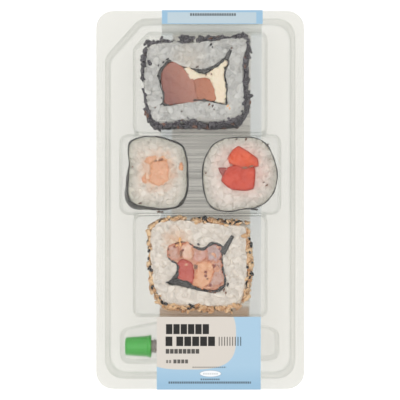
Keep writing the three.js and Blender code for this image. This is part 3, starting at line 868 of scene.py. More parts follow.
@dataclass(frozen=True)
class Rice:
    """Cooked rice: moist grains that differ a little, stained by the filling that they lie round, and greyed
    towards the outer edge by painted shade.

    Attributes:
        colour: Colour of a clean grain.
        shade: Colour of the greyer grains.
        stain: Colour of the grains that lie on the filling.
        centre: Middle of the stain in metres.
        stain_start: Distance from there, in millimetres, where the stain is strongest.
        stain_end: Distance where it has faded.
        stain_weight: Strength of the stain.
        rim_weight: Strength of the painted shade that greys it towards its outer edge.
    """

    name: str
    colour: Colour
    shade: Colour
    stain: Colour
    centre: tuple[float, float, float]
    stain_start: float
    stain_end: float
    stain_weight: float
    rim_weight: float = 0.0

    def material(self) -> Material:
        """Each grain's own tone from its attribute, the stain by distance from its middle, then painted shade
        towards the outer edge.
        """
        values = {
            "Roughness": 0.34,
            "Subsurface Weight": 0.35,
            "Subsurface Radius": (1.0, 0.85, 0.7),
            "Subsurface Scale": 0.0018,
            "Specular IOR Level": 0.45,
        }
        material, tree, shader = principled(self.name, values)
        colour = mixed(tree, attribute(tree, "tone"), self.shade, self.colour)
        place = placed_pattern(tree, self.centre)
        flat = node(tree, "VectorMath", {0: place, 1: (1.0, 1.0, 0.0)}, operation="MULTIPLY").outputs[0]
        away = node(tree, "VectorMath", {0: flat}, operation="LENGTH").outputs["Value"]
        uneven, normal = mottle(tree, place, 0.3, 3.0, 0.12)
        ragged = maths(tree, "MULTIPLY_ADD", uneven, 5.0, less(tree, away, 2.5))
        fade = ramp(tree, ragged, self.stain_start, self.stain_end, self.stain_weight, 0.0)
        colour = mixed(tree, fade, colour, self.stain)
        # painted shade: greyer towards the cut face's outer edge, by the rim value
        rim = maths(tree, "POWER", attribute(tree, "rim"), 1.3)
        colour = mixed(tree, times(tree, rim, self.rim_weight), colour, (0.4, 0.4, 0.33))
        fed(shader, {"Base Color": colour, "Normal": normal})
        return material


@dataclass(frozen=True)
class Sesame:
    """Seeds of two kinds, told apart by their attributes: the main one pale or deep, and another."""

    name: str
    main: Colour
    main_deep: Colour
    other: Colour

    def material(self) -> Material:
        """The seed's kind chooses between the kinds, and its tone varies the main one."""
        material, tree, shader = principled(self.name, {"Roughness": 0.42, "Specular IOR Level": 0.4})
        main = mixed(tree, attribute(tree, "tone"), self.main_deep, self.main)
        speckle, normal = mottle(tree, placed_pattern(tree), 1.2, 2.0, 0.25)
        worn = mixed(tree, times(tree, speckle, 0.3), main, self.main_deep)
        colour = mixed(tree, attribute(tree, "kind"), worn, self.other)
        fed(shader, {"Base Color": colour, "Normal": normal})
        return material


@dataclass(frozen=True)
class Moulded:
    """Moulded plastic of one colour, slightly deeper in faint blotches."""

    name: str
    colour: Colour
    deep: Colour
    roughness: float = 0.35

    def material(self) -> Material:
        """A plain colour with faint blotches and a faint orange-peel relief."""
        values = {"Roughness": self.roughness, "Subsurface Weight": 0.1, "Subsurface Scale": 0.001}
        material, tree, shader = principled(self.name, values)
        blotch, normal = mottle(tree, placed_pattern(tree), 0.4, 1.5, 0.08)
        fed(shader, {"Base Color": mixed(tree, blotch, self.deep, self.colour), "Normal": normal})
        return material


@dataclass(frozen=True)
class Bar:
    """A printed bar in millimetres, cut by blank gaps into blocks.

    Attributes:
        block: Width of a block with its gap.
        gap: The gap's share of that width.
        weight: Strength of the ink.
    """

    left: float
    right: float
    low: float
    high: float
    block: float = 50.0
    gap: float = 0.0
    weight: float = 1.0

    def mask(self, tree: Tree, place: Any) -> Any:
        """Where the bar is."""
        return printed_bar(tree, place, self.left, self.right, self.low, self.high, self.block, self.gap)[0]


@dataclass(frozen=True)
class PrintedPaper:
    """The printed side of the label: a blue ground, a cream field, a white oval and plain bars.

    Attributes:
        lit_ground: The blue ground made paler by painted light where the lower flap lies flattest.
        field_colour: The cream field on the lower flap.
        panel: The paler panel on the upper flap.
        bars: The bars on the two flaps.
        columns: The columns of rows of fine print on the underside.
    """

    ground: Colour = (0.305, 0.49, 0.65)
    lit_ground: Colour = (0.38, 0.559, 0.705)
    field_colour: Colour = (0.66, 0.61, 0.55)
    panel: Colour = (0.48, 0.583, 0.643)
    ink: Colour = (0.012, 0.011, 0.01)
    bars: tuple[Bar, ...] = (
        Bar(-14.4, 3.7, -55.0, -50.9, 3.0, 0.13, 1.0),
        Bar(-14.4, -11.4, -59.9, -56.0, 3.2, 0.06, 1.0),
        Bar(-10.2, 6.1, -59.9, -56.0, 3.25, 0.13, 1.0),
        Bar(6.9, 17.2, -59.8, -56.1, 1.1, 0.62, 0.8),
        Bar(-14.4, -0.4, -63.0, -61.1, 1.75, 0.16, 0.9),
        Bar(-14.3, -11.8, -66.9, -65.6, 1.2, 0.3, 0.7),
        Bar(-11.3, -5.0, -67.0, -65.4, 1.6, 0.2, 0.85),
        Bar(-3.4, 10.6, -68.9, -68.3, 0.8, 0.3, 0.6),
        Bar(0.9, 7.4, -71.6, -70.9, 0.9, 0.35, 0.35),
        Bar(-0.1, 7.9, -73.9, -73.2, 0.9, 0.3, 0.7),
        Bar(-13.2, 20.8, -75.3, -74.4, 0.9, 0.25, 0.75),
        Bar(-4.4, 14.6, 75.4, 76.5, 1.0, 0.3, 0.85),
    )
    columns: tuple[Bar, ...] = (
        Bar(-11.0, 2.5, -56.0, 20.0, 2.9, 0.18),
        Bar(5.0, 19.5, -56.0, 44.0, 2.9, 0.18),
        Bar(-11.0, 2.5, 28.0, 58.0, 2.9, 0.18),
    )

    def material(self) -> Material:
        """Each field and bar is a mask over Object coordinates; the underside has even rows of fine bars."""
        material, tree, shader = principled("printed_paper", {"Roughness": 0.55, "Specular IOR Level": 0.15})
        place = placed_pattern(tree)
        _, y, z = parted(tree, place)
        on_flap = maths(tree, "GREATER_THAN", z, LEVELS.film)
        on_lower = times(tree, on_flap, maths(tree, "LESS_THAN", y, 0.0))
        below = maths(tree, "LESS_THAN", z, LEVELS.pocket_floor)

        # painted light: the blue ground turns paler towards the flattest part of the lower flap
        ground = mixed(tree, times(tree, ramp(tree, y, -76.0, -68.0), on_lower), self.ground, self.lit_ground)
        (cream,) = printed_oval(tree, place, -5.0, -55.8, 19.7, 13.7, 3.2)
        panel = Bar(-13.4, 23.0, 72.4, 76.9).mask(tree, place)
        (rim,) = printed_oval(tree, place, 4.2, -71.2, 4.5, 1.4, 2.0)
        (white,) = printed_oval(tree, place, 4.2, -71.2, 4.25, 1.2, 2.0)
        fields = [
            (cream, self.field_colour),
            (panel, self.panel),
            (rim, (0.35, 0.42, 0.5)),
            (white, (0.86, 0.88, 0.9)),
        ]
        colour = ground
        for mask, tint in fields:
            colour = mixed(tree, times(tree, mask, on_flap), colour, tint)
        for bar in self.bars:
            colour = mixed(tree, times(tree, bar.mask(tree, place), on_flap, bar.weight), colour, self.ink)

        back = Bar(-13.0, 21.5, -60.0, 62.0).mask(tree, place)
        colour = mixed(tree, times(tree, back, below), colour, (0.8, 0.79, 0.76))
        row = maths(tree, "LESS_THAN", maths(tree, "FRACT", maths(tree, "DIVIDE", y, 2.1)), 0.42)
        for column in self.columns:
            colour = mixed(tree, times(tree, column.mask(tree, place), row, below, 0.75), colour, self.ink)

        fibre, normal = mottle(tree, place, 0.9, 1.2, 0.1)
        faint = mixed(tree, times(tree, fibre, 0.03), colour, (0.9, 0.9, 0.88))
        fed(shader, {"Base Color": faint, "Normal": normal})
        return material


@dataclass(frozen=True)
class PaperInside:
    """The label's unprinted side: thin paper with a painted glow, an emission in its own colour, and painted
    shade.

    Attributes:
        lines: Colour of the faint rows that show through.
        glow: Strength of the painted glow, an emission in the paper's colour, where it stands clear of the
            ground.
        flat_glow: Share of that where it lies flat.
        shade: Colour of the painted shadow just above the lower flap, under the lower roll.
        upper: Colour of the painted shade on the stretch that climbs to the upper flap.
    """

    paper: Colour = (0.87, 0.852, 0.835)
    border: Colour = (0.95, 0.99, 1.06)
    lines: Colour = (0.47, 0.45, 0.44)
    glow: float = 0.84
    flat_glow: float = 0.619
    shade: Colour = (0.6, 0.42, 0.3)
    upper: Colour = (0.76, 0.785, 0.8)

    def material(self) -> Material:
        """Borders by the distance across the band and faint rows along it, from the band's UV map, then
        painted shade, a painted shadow and a painted glow.
        """
        values = {"Roughness": 0.6, "Specular IOR Level": 0.3, "Emission Strength": self.glow}
        material, tree, shader = principled("paper_inside", values)
        band = node(tree, "UVMap", uv_map="band").outputs[0]
        across = parted(tree, band)[0]
        edge = maths(tree, "ABSOLUTE", less(tree, across, 0.5))
        border = maths(tree, "MULTIPLY_ADD", less(tree, edge, 0.39), 60.0, 0.5, clamp=True)
        stretched = node(tree, "Mapping", {0: band, "Scale": (0.8, 120.0, 1.0)}).outputs[0]
        faint = ramp(tree, noise(tree, stretched, 1.0, 3.0), 0.42, 0.6, 0.0, 0.75)
        _, y, z = parted(tree, placed_pattern(tree))
        # painted shadow: a band just under the lower roll, left of the right border, darkened towards the
        # shade colour
        shaded = times(tree, ramp(tree, y, -44.2, -46.2), maths(tree, "LESS_THAN", across, 0.88), 0.85)
        colour = mixed(tree, border, mixed(tree, faint, self.paper, self.lines), self.border)
        # painted shade: the stretch that climbs to the upper flap is greyed, borders included
        colour = mixed(tree, ramp(tree, y, 69.2, 70.4), colour, self.upper)
        colour = mixed(tree, shaded, colour, self.shade)
        # painted glow: emission in the paper's own colour, weaker where the paper lies flat
        lit = ramp(tree, z, 1.0, 12.0, self.flat_glow)
        fed(shader, {"Base Color": colour, "Emission Color": mixed(tree, lit, (0.0, 0.0, 0.0), colour)})
        return material


# ---- The tray ----


def wall_profile(depth: float, draft: float, lip: float, foot: float) -> tuple[Array, Array]:
    """Section through the wall of a pocket, from its rim to its floor.

    The rim rolls over through an arc of the lip's radius, the wall leans in by the draft, and an arc of the
    foot's radius meets the floor.

    Args:
        depth: Depth of the pocket.
        draft: How far in the wall leans by its foot.
        lip: Radius at the rim.
        foot: Radius at the foot.

    Returns:
        Distances inside the rim's outline, increasing, and how far below the rim the sheet is there.
    """
    quarter = np.linspace(0.0, np.pi / 2, 5)
    flat = 0.25
    lip_in, lip_down = -lip + lip * np.sin(quarter), lip - lip * np.cos(quarter)
    foot_in = draft + foot - foot * np.cos(quarter)
    foot_down = depth - foot + foot * np.sin(quarter)
    steps = np.linspace(0.0, 1.0, 5)[1:-1]
    wall_down = lip_down[-1] + steps * (foot_down[0] - lip_down[-1])
    inward = np.concatenate([[-lip - flat], lip_in, steps * draft, foot_in, [draft + foot + flat]])
    down = np.concatenate([[0.0], lip_down, wall_down, foot_down, [depth]])
    return inward + np.arange(len(inward)) * 1e-4, down


@dataclass
class Pocket:
    """A pocket sunk into the sheet.

    Attributes:
        corners: Its rim as x, y and radius of each corner, anticlockwise.
        draft: How far in its wall leans.
        lip: Radius at the rim.
        foot: Radius at the foot.
        rounder: How much greater the radius of its corners is at the foot than at the rim.
    """

    corners: Corners
    depth: float
    draft: float
    lip: float
    foot: float
    rounder: float = 0.0

    def __post_init__(self) -> None:
        """Works out the wall's section, and where it starts and ends in plan."""
        inward, self.down = wall_profile(self.depth, self.draft, self.lip, self.foot)
        self.share = (inward - inward[0]) / (inward[-1] - inward[0])
        softer = [(x, y, radius + self.rounder) for x, y, radius in self.corners]
        self.outer = grown(rounded_loop(self.corners, 0.9), -inward[0])
        self.inner = grown(rounded_loop(softer, 0.9), -inward[-1])

    def rings(self) -> Array:
        """Flat points across the wall, from its start towards the nearest point of its end."""
        across = nearest_on(self.inner, self.outer) - self.outer
        return (self.outer + self.share[:, None, None] * across).reshape(-1, 2)

    def sink(self, points: Array) -> Array:
        """How far below the rim's level the sheet lies, by the share of the way across the wall."""
        outside, inside_foot = depth_inside(self.outer, points), depth_inside(self.inner, points)
        share = np.clip(outside / np.maximum(outside - np.minimum(inside_foot, 0.0), 1e-6), 0.0, 1.0)
        return np.interp(share, self.share, self.down)


@dataclass
class Tray:
    """The clear tray: a sheet whose height is worked out over points that follow every pocket's outline."""

    width: float = 85.3
    length: float = 155.0
    corner: float = 7.0
    sheet: float = 0.45
    finish: ClearPlastic = ClearPlastic(
        "tray_plastic", (0.83, 0.825, 0.80), (0.77, 0.775, 0.745), straight=0.75, bump=0.12, bump_scale=90.0
    )

    def __post_init__(self) -> None:
        """Sets out the cavity, the four pockets and the channels that lower the ridges between them."""
        drop = LEVELS.ledge - LEVELS.pocket_floor
        steep = dict(depth=drop, draft=0.35, lip=0.25, foot=0.5)
        cavity = [
            (-38.6, -72.9, 6.5), (38.6, -72.9, 6.5), (38.6, 74.0, 6.5), (-24.7, 74.0, 5.0),
            (-38.6, 58.6, 5.0),
        ]
        upper = [
            (-27.6, 28.2, 2.5), (27.6, 28.2, 2.5), (27.6, 69.7, 3.0), (-21.5, 69.7, 2.0),
            (-27.6, 63.0, 2.0),
        ]
        sauce = [
            (-33.1, -68.2, 3.0), (32.6, -66.6, 3.0), (32.6, -54.4, 3.0), (18.0, -51.3, 4.0),
            (-18.0, -51.3, 4.0), (-33.1, -54.2, 3.0),
        ]
        self.cavity = Pocket(cavity, LEVELS.flange - LEVELS.ledge, 1.0, 0.5, 1.0, rounder=2.2)
        self.pockets = [
            Pocket(upper, **steep),
            Pocket(rectangle(-33.3, -5.7, 33.3, 27.0, 3.0), **steep, rounder=0.6),
            Pocket(rectangle(-27.6, -48.4, 27.6, -6.6, 2.2), **steep, rounder=0.6),
            Pocket(sauce, drop, 1.0, 0.3, 0.4, rounder=1.5),
        ]
        self.channels = [
            Pocket(rectangle(-27.0, low, 27.0, high, 0.8), LEVELS.ledge - LEVELS.ridge, 1.0, 0.3, 0.5)
            for low, high in ((25.2, 30.0), (-8.4, -3.9))
        ]

    def height(self, points: Array) -> Array:
        """Height of the sheet's upper side: the flange, less the cavity, less the deepest pocket there."""
        deepest = np.max([pocket.sink(points) for pocket in (*self.channels, *self.pockets)], axis=0)
        return LEVELS.flange - self.cavity.sink(points) - deepest

    def flange_loop(self, inset: float = 0.0, spacing: float = 1.5) -> Array:
        """Outline of the flange, moved in by an inset."""
        x, y = self.width / 2 - inset, self.length / 2 - inset
        return rounded_loop(rectangle(-x, -y, x, y, self.corner - inset), spacing)

    def build(self) -> Piece:
        """Triangulates the points of all rings and a lattice between them, and thickens the sheet."""
        ridges = np.vstack([channel.rings() for channel in self.channels])
        ridges = ridges[(np.abs(ridges[:, 1] - 27.6) < 1.6) | (np.abs(ridges[:, 1] + 6.15) < 1.5)]
        rings = [self.cavity.rings(), *(pocket.rings() for pocket in self.pockets), ridges]
        edge = self.flange_loop()
        lattice = staggered((-42, -77), (42, 77), 3.0)
        clear = depth_inside(edge, lattice) > 1.0
        for pocket in (self.cavity, *self.pockets):
            outside, on_floor = depth_inside(pocket.outer, lattice), depth_inside(pocket.inner, lattice)
            clear &= (outside < -0.8) | (on_floor > 0.8)
        flat = np.vstack([edge, self.flange_loop(0.5), *rings, lattice[clear]])
        spread, triangles = triangulated(flat, [], 0, 0.02)
        tray = written("tray_sheet", Shape(at_height(spread, self.height(spread)), [triangles]), crease=60.0)
        thicken = tray.modifiers.new("sheet", "SOLIDIFY")
        thicken.thickness = self.sheet * MM
        thicken.offset = -1.0
        return dressed(tray, self.finish.material(), "tray", "tray")


@dataclass
class LidFilm:
    """The clear film sealed to the tray's flange: two skins that follow its outline, joined at the edge."""

    tray: Tray
    finish: ClearPlastic = ClearPlastic(
        "lid_plastic", (0.985, 0.985, 0.98), (0.93, 0.93, 0.92), straight=0.8, roughness=0.03, bump=0.06,
        bump_scale=25.0,
    )

    def build(self) -> Piece:
        """Rings of the flange's outline shrunk towards the middle, below and above, closed at the rim."""
        loop = self.tray.flange_loop(0.05, 2.0)
        shares = np.append(np.linspace(0.0, 0.96, 8), [0.999, 1.0])
        shares = np.concatenate([shares, shares[::-1]])[:, None, None]
        heights = np.repeat([LEVELS.film, LEVELS.film + LEVELS.film_thickness], len(shares) // 2)
        rings = np.dstack([shares * loop, np.repeat(heights[:, None], len(loop), 1)])
        film = written("lid_film_sheet", lofted(rings), weld=0.02, crease=60.0)
        return dressed(film, self.finish.material(), "film", "lid_film")


@dataclass
class Label:
    """The paper band: flap, down the end of the pack, along under it, up, and on to the film again.

    Attributes:
        left: x of the left edge at both ends of the lower flap, of the underside, and at the upper flap.
        right: x of the right edge there.
        places: Shares of the band's length where those are.
        lower_end: y of the lower flap's end.
        upper_end: y of the upper flap's end.
    """

    left: tuple[float, ...] = (-17.8, -17.8, -17.3, -16.2, -15.7)
    right: tuple[float, ...] = (24.8, 24.8, 25.6, 26.0, 25.6)
    places: tuple[float, ...] = (0.0, 0.13, 0.26, 0.845, 0.975)
    thickness: float = 0.2
    lower_end: float = -47.9
    upper_end: float = 72.1

    def section(self) -> Array:
        """The paper's inner side as y and z, each bend a quadratic curve from its two legs' ends."""
        edge = Tray.length / 2 + 0.1
        flap = LEVELS.flap
        corners = np.array(
            [
                (self.lower_end, flap, 0.0), (-edge, flap, 0.35), (-edge, 29.9, 1.2), (-73.0, 11.5, 3.0),
                (-69.5, 6.0, 3.0), (-68.3, 0.2, 0.4), (69.8, 0.2, 0.4), (71.0, 6.0, 3.0),
                (74.2, 11.5, 3.0), (edge, 29.9, 1.2), (edge, flap, 0.35), (self.upper_end, flap, 0.0),
            ]
        )
        path = [corners[:1, :2]]
        blend = np.linspace(0.0, 1.0, 7)[:, None]
        for before, corner, after in zip(corners[:-2], corners[1:-1], corners[2:], strict=True):
            legs = [before[:2] - corner[:2], after[:2] - corner[:2]]
            reaches = [min(corner[2], 0.45 * float(np.linalg.norm(leg))) for leg in legs]
            start, end = (corner[:2] + unit(leg) * length for leg, length in zip(legs, reaches, strict=True))
            path.append((1 - blend) ** 2 * start + 2 * blend * (1 - blend) * corner[:2] + blend**2 * end)
        return np.vstack([*path, corners[-1:, :2]])

    def build(self) -> Piece:
        """Carries the section across the pack between the band's edges, once for each side of the paper."""
        inner = self.section()
        along = unit(np.gradient(inner, axis=0))
        outer = inner + np.column_stack([along[:, 1], -along[:, 0]]) * self.thickness
        across = np.linspace(0.0, 1.0, 13)
        length = along_path(inner)
        share = length / length[-1]
        left, right = (np.interp(share, self.places, edges) for edges in (self.left, self.right))
        x = left[:, None] + (right - left)[:, None] * across
        count, wide = x.shape
        sides = (np.broadcast_to(side[:, None, :], (count, wide, 2)) for side in (inner, outer))
        skins = [np.dstack([x, side]) for side in sides]
        row, column = np.meshgrid(np.arange(count - 1), np.arange(wide - 1), indexing="ij")
        first = (row * wide + column).ravel()
        quads = np.column_stack([first, first + 1, first + wide + 1, first + wide])
        shift = count * wide
        rim = np.concatenate(
            [
                np.arange(wide),
                np.arange(1, count) * wide + wide - 1,
                (count - 1) * wide + np.arange(wide - 2, -1, -1),
                np.arange(count - 2, 0, -1) * wide,
            ]
        )
        following = np.roll(rim, -1)
        edge = np.column_stack([rim, rim + shift, following + shift, following])
        shape = Shape(np.concatenate(skins).reshape(-1, 3), [quads, quads[:, ::-1] + shift, edge])
        label = written("label_band", shape, crease=60.0)
        kinds = np.repeat([1, 0, 0], [len(quads), len(quads), len(edge)])
        label.data.polygons.foreach_set("material_index", kinds)
        uv = np.column_stack([np.tile(across, count), np.repeat(length, wide) / 100.0])
        corners = read(label.data.loops, "vertex_index", kind=int)
        layer = label.data.uv_layers.new(name="band")
        layer.data.foreach_set("uv", np.vstack([uv, uv])[corners].ravel())
        return dressed(label, [PrintedPaper().material(), PaperInside().material()], "label", "label")


# ---- The soy sauce bottle ----


@dataclass
class SauceBottle:
    """The soy sauce bottle, lying along X with its cap to the left.

    Attributes:
        cap_end: x of the cap's closed end.
        axis_y: y of the bottle's axis.
        radius: Radius of the body.
        neck: Radius of the neck.
        wall: Thickness of the plastic.
        cap_radius: Radius of the cap's open end.
        body_end: Distance of the bottle's base from the cap's closed end.
        milky: The bottle's plastic.
        dark: The sauce.
        green: The cap's plastic.
    """

    cap_end: float = -31.5
    axis_y: float = -61.4
    radius: float = 6.1
    neck: float = 2.6
    wall: float = 0.6
    cap_length: float = 11.0
    cap_radius: float = 4.65
    body_end: float = 51.0
    milky: ClearPlastic = ClearPlastic(
        "bottle_plastic", (0.69, 0.665, 0.66), (0.43, 0.42, 0.42), straight=0.3, roughness=0.28, bump=0.1,
        bump_scale=200.0, milk=0.5,
    )
    dark: Food = Food(
        "soy_sauce_dark", (0.035, 0.013, 0.006), (0.02, 0.008, 0.004), roughness=0.12, soft=0.0, bump=0.0
    )
    green: Moulded = Moulded("cap_green", (0.08, 0.524, 0.085), (0.059, 0.46, 0.065), roughness=0.4)

    def laid(self, shape: Shape) -> Shape:
        """A shape turned about the Z axis laid down along +X at the bottle's place."""
        x, y, z = shape.points.T
        points = np.column_stack([self.cap_end + z, self.axis_y + y, LEVELS.food + self.radius - x])
        return Shape(points, shape.polygons, shape.values)

    def outside(self) -> Array:
        """The plastic's outer profile from the mouth to the base, with thread rings on the neck."""
        shoulder = self.cap_length + 2.4
        mouth = np.linspace(2.5, shoulder - 0.6, 40)
        thread = 0.35 * np.clip(np.sin(mouth * TURN / 1.5), 0.0, None) * (mouth < self.cap_length + 1.6)
        swell = np.linspace(0.0, 1.0, 14)
        rise = self.neck + (self.radius - self.neck) * np.sin(swell * np.pi / 2) ** 0.8
        end = np.linspace(0.0, np.pi / 2, 10)
        base_x = self.body_end - 2.6 + 2.6 * np.sin(end)
        base_r = self.radius - 2.6 + 2.6 * np.cos(end)
        x = np.concatenate([mouth, shoulder + swell * 5.0, base_x, [self.body_end - 0.5]])
        return np.column_stack([x, np.concatenate([self.neck + thread, rise, base_r, [0.0]])])

    def build(self) -> list[Piece]:
        """Makes the bottle, its sauce and its cap."""
        outer = self.outside()
        x, r = outer[:-2].T
        deepest = self.body_end - self.wall - 0.4
        inner = np.column_stack([np.minimum(x, deepest), np.maximum(r - self.wall, 0.2)])
        inner[:40, 1] = self.neck - self.wall
        tip = np.array([[self.body_end - self.wall - 0.5, 0.0]])
        shell = self.laid(revolved(np.vstack([tip, inner[::-1], outer]), 40))
        bottle = written("sauce_bottle_wall", shell, weld=0.02)
        filled_to = [[(inner[44, 0], 0.0)], inner[44:] + [0.0, 0.06], tip]
        sauce = written("soy_sauce_fill", self.laid(revolved(np.vstack(filled_to), 40)), weld=0.02)
        return [
            dressed(bottle, self.milky.material(), "bottle", "sauce_bottle"),
            dressed(sauce, self.dark.material(), "sauce", "soy_sauce"),
            dressed(self.cap(), self.green.material(), "cap", "bottle_cap"),
        ]

    def cap(self) -> Piece:
        """The screw cap: a tapered cup with a rounded crown, fine grip ribs and a collar at its open end."""
        length, radius = self.cap_length, self.cap_radius
        crown = np.linspace(0.0, np.pi / 2, 8)
        crown = np.column_stack([1.1 - 1.1 * np.cos(crown), radius - 1.95 + 1.1 * np.sin(crown)])
        side = np.linspace(1.3, length - 1.5, 12)
        side = np.column_stack([side, radius - 0.85 + (side - 1.1) / (length - 2.6) * 0.55])
        collar = [
            (length - 1.3, radius - 0.1), (length - 1.1, radius), (length - 0.15, radius),
            (length, radius - 0.15),
        ]
        bore = self.neck + 0.35
        hollow = [(length, self.neck + 0.45), (length - 0.2, bore), (2.0, bore), (2.0, 0.0)]
        shape = revolved(np.vstack([[(0.0, 0.0)], crown, side, collar, hollow]), 144)
        x, y, z = shape.points.T
        distance = np.hypot(x, y)
        on_side = (z > 1.2) & (z < length - 1.4) & (distance > radius - 1.4)
        ribbed = distance - 0.1 * (0.5 + 0.5 * np.cos(direction(shape.points) * 36)) * on_side
        scale = ribbed / np.maximum(distance, 1e-6)
        shape.points = np.column_stack([x * scale, y * scale, z])
        return written("bottle_cap_green", self.laid(shape.turned_over()), weld=0.01)


# ---- Rolls ----


@dataclass
class Filling:
    """A piece of filling that runs through a roll.

    Attributes:
        node_name: The solid that it stands for.
        slot: Name of the slot that its finish belongs to; dressed only logs it.
        finish: Its surface.
        outline: Its cut face about the roll's middle, in millimetres.
        rise: How far its cut face stands above the rice's, or below it if negative.
        relief: Height of its unevenness.
        edge: Radius that its cut edge is softened by.
        border: How far in the colour of its border reaches.
        grow: How far it is swollen into the gap round it.
        angular: Whether it keeps the corners of its outline, as cut vegetables do.
        ragged: How far its outline strays in short crumbs.
    """

    node_name: str
    slot: str
    finish: Food
    outline: Pairs
    rise: float = 0.0
    relief: float = 0.25
    edge: float = 0.8
    border: float = 1.2
    grow: float = 0.2
    angular: bool = False
    ragged: float = 0.0

    def loop(self) -> Array:
        """The outline: smooth, or with corners rounded by averaging neighbours, then swollen and crumbled."""
        count = 96
        if self.angular:
            loop = resampled(np.asarray(self.outline, float), count)
            for _ in range(2):
                loop = (np.roll(loop, 1, axis=0) + 2 * loop + np.roll(loop, -1, axis=0)) / 4
        else:
            loop = smooth_loop(self.outline, count)
        crumbs = Ripple(len(self.node_name), 1.7).at(loop) + Ripple(len(self.node_name) + 1, 0.8).at(loop)
        return grown(loop, self.grow + self.ragged * crumbs)

    def shape(self, top: float, seed: int) -> Shape:
        """A filled outline on top, its wall down to the food's foot, and a filled outline below.

        The cut face falls away at its edge in a quarter of a circle, and two scales of ripple uneven it.

        Args:
            top: Height of the roll's cut face.
            seed: Seed of the ripples.

        Returns:
            The surface about the roll's middle, with how far in each point of the cut face lies.
        """
        loop = self.loop()
        wide, fine = Ripple(seed, 6.0), Ripple(seed + 1, 1.9)

        def height(points: Array) -> Array:
            """Height of the cut face at flat points."""
            inward = np.clip(depth_inside(loop, points) / self.edge, 0.0, 1.0)
            fall = self.edge * (1 - np.sqrt(1 - (1 - inward) ** 2))
            uneven = self.relief * (wide.at(points) + 0.45 * fine.at(points))
            return top + self.rise - fall + uneven * np.clip(inward + 0.3, 0.0, 1.0)

        flat, triangles = filled(loop)
        inward = np.clip(depth_inside(loop, flat) / self.border, 0.0, 1.0)
        lid = Shape(at_height(flat, height(flat)), [triangles], {"inward": inward})
        base = Shape(at_height(flat, LEVELS.food), [triangles]).turned_over()
        z = LEVELS.food + (height(loop) - LEVELS.food)[None] * np.linspace(0.0, 1.0, 9)[:, None]
        return joined([lid, base, lofted(stacked(loop, z))])

    def build(self, top: float, seed: int, centre: tuple[float, float]) -> Piece:
        """Makes the piece at its roll's middle, with the roll's cut face at a height."""
        piece = written(f"{self.node_name}_cut", self.shape(top, seed).moved(*centre), weld=0.02)
        return dressed(piece, self.finish.material(), self.slot, self.node_name)


def scraps(
    name: str, crumbs: Crumbs, centre: tuple[float, float], top: float, hollow: Array | None = None
) -> Piece:
    """Thin crumbs of seaweed and filling pressed into a cut face.

    Args:
        name: Prefix of the roll's nodes.
        crumbs: Each crumb as x, y, length, angle in degrees and how brown it is, from 0 to 1, or 2 if orange.
        centre: The roll's middle in the pack.
        top: Height of the cut face.
        hollow: Outline of the filling, on which the crumbs lie higher than on the rice.

    Returns:
        All crumbs of the roll as one piece.
    """
    x, y, length, turn, brown = np.asarray(crumbs, float).T
    flat = np.column_stack([x, y])
    on_filling = np.zeros(len(flat), bool) if hollow is None else depth_inside(hollow, flat) > 0
    at = at_height(flat, top + np.where(on_filling, 0.5, 0.15))
    way = at_height(polar(1.0, np.radians(turn)), 0.0)
    size = np.column_stack([length, 0.5 + 0.5 * length, np.ones(len(x))])
    shape = scattered(CRUMB, at, frames_along(way), size)
    brown = brown[shape.copy]
    shape.values = {"tone": np.minimum(brown, 1.0), "kind": (brown > 1.0).astype(float)}
    return dressed(written(f"{name}_seaweed_crumbs", shape.moved(*centre)), CRUMBS.material(), "seaweed")


@dataclass
class RollForm:
    """The outside of a roll: its distance from the middle for each direction and height.

    Attributes:
        body: Outline of the widest part.
        face: Outline of the cut face.
        top: Height of the cut face.
        shoulder: Height of the stretch that rounds in from the body to the face.
        inset: How far the surface lies inside the body's outline.
    """

    body: Array
    face: Array
    top: float
    shoulder: float
    inset: float = 0.0

    def distance(self, angle: Array, z: Array) -> Array:
        """The body's reach, drawn in as an ellipse's quarter over the shoulder, and a little at the foot."""
        body, face = reach(self.body, angle) - self.inset, reach(self.face, angle)
        climb = np.clip((z - self.top + self.shoulder) / self.shoulder, 0.0, 1.0)
        foot = 1.1 * np.clip(1 - (z - LEVELS.food) / 2.2, 0.0, 1.0) ** 2
        return face + (body - face) * np.sqrt(1 - climb**2) - foot

    def bend(self) -> float:
        """Distance along the side that the shoulder takes up."""
        return 0.55 * (self.shoulder + 2.5)

    def climbed(self, along: Array) -> Array:
        """Height at a distance along the side: straight up, then round the shoulder's quarter ellipse."""
        start = self.top - self.shoulder
        turned = np.clip((along - start) / self.bend(), 0.0, 1.0) * (np.pi / 2)
        return np.where(along < start, along, start + self.shoulder * np.sin(turned))

    def side_length(self) -> float:
        """Distance from the ground's level up the side, with over half of the shoulder's bend to spare."""
        return self.top - self.shoulder + self.bend() * (np.pi / 2)

    def girth(self) -> float:
        """Distance round the widest part."""
        return float(np.sum(np.linalg.norm(np.diff(self.body, axis=0), axis=1)))

    def lattice(self, low: float, high: float, spacing: float) -> Array:
        """Evenly spread places on the side, as distances round it and, from low to high, along it."""
        return staggered((0.0, low), (self.girth(), high), spacing)

    def points(self, angle: Array, z: Array, sink: float | Array = 0.0) -> Array:
        """Points on the surface, sunk inwards by a distance."""
        angle, z = np.broadcast_arrays(angle, z)
        return np.concatenate([polar(self.distance(angle, z) - sink, angle), z[..., None]], axis=-1)

    def normals(self, angle: Array, z: Array) -> Array:
        """Outward unit normals of the surface, from differences along it."""
        around = self.points(angle + 0.02, z) - self.points(angle - 0.02, z)
        return unit(np.cross(around, self.points(angle, z + 0.3) - self.points(angle, z - 0.3)))


RICE_GRAIN = Grain(5.8, 2.7, 2.35, taper=0.05)
SEED_GRAIN = Grain(2.95, 1.75, 0.95, taper=0.3, rings=3, sides=6)
CRUMB = Grain(1.0, 0.6, 0.35, taper=0.2, rings=3, sides=6)


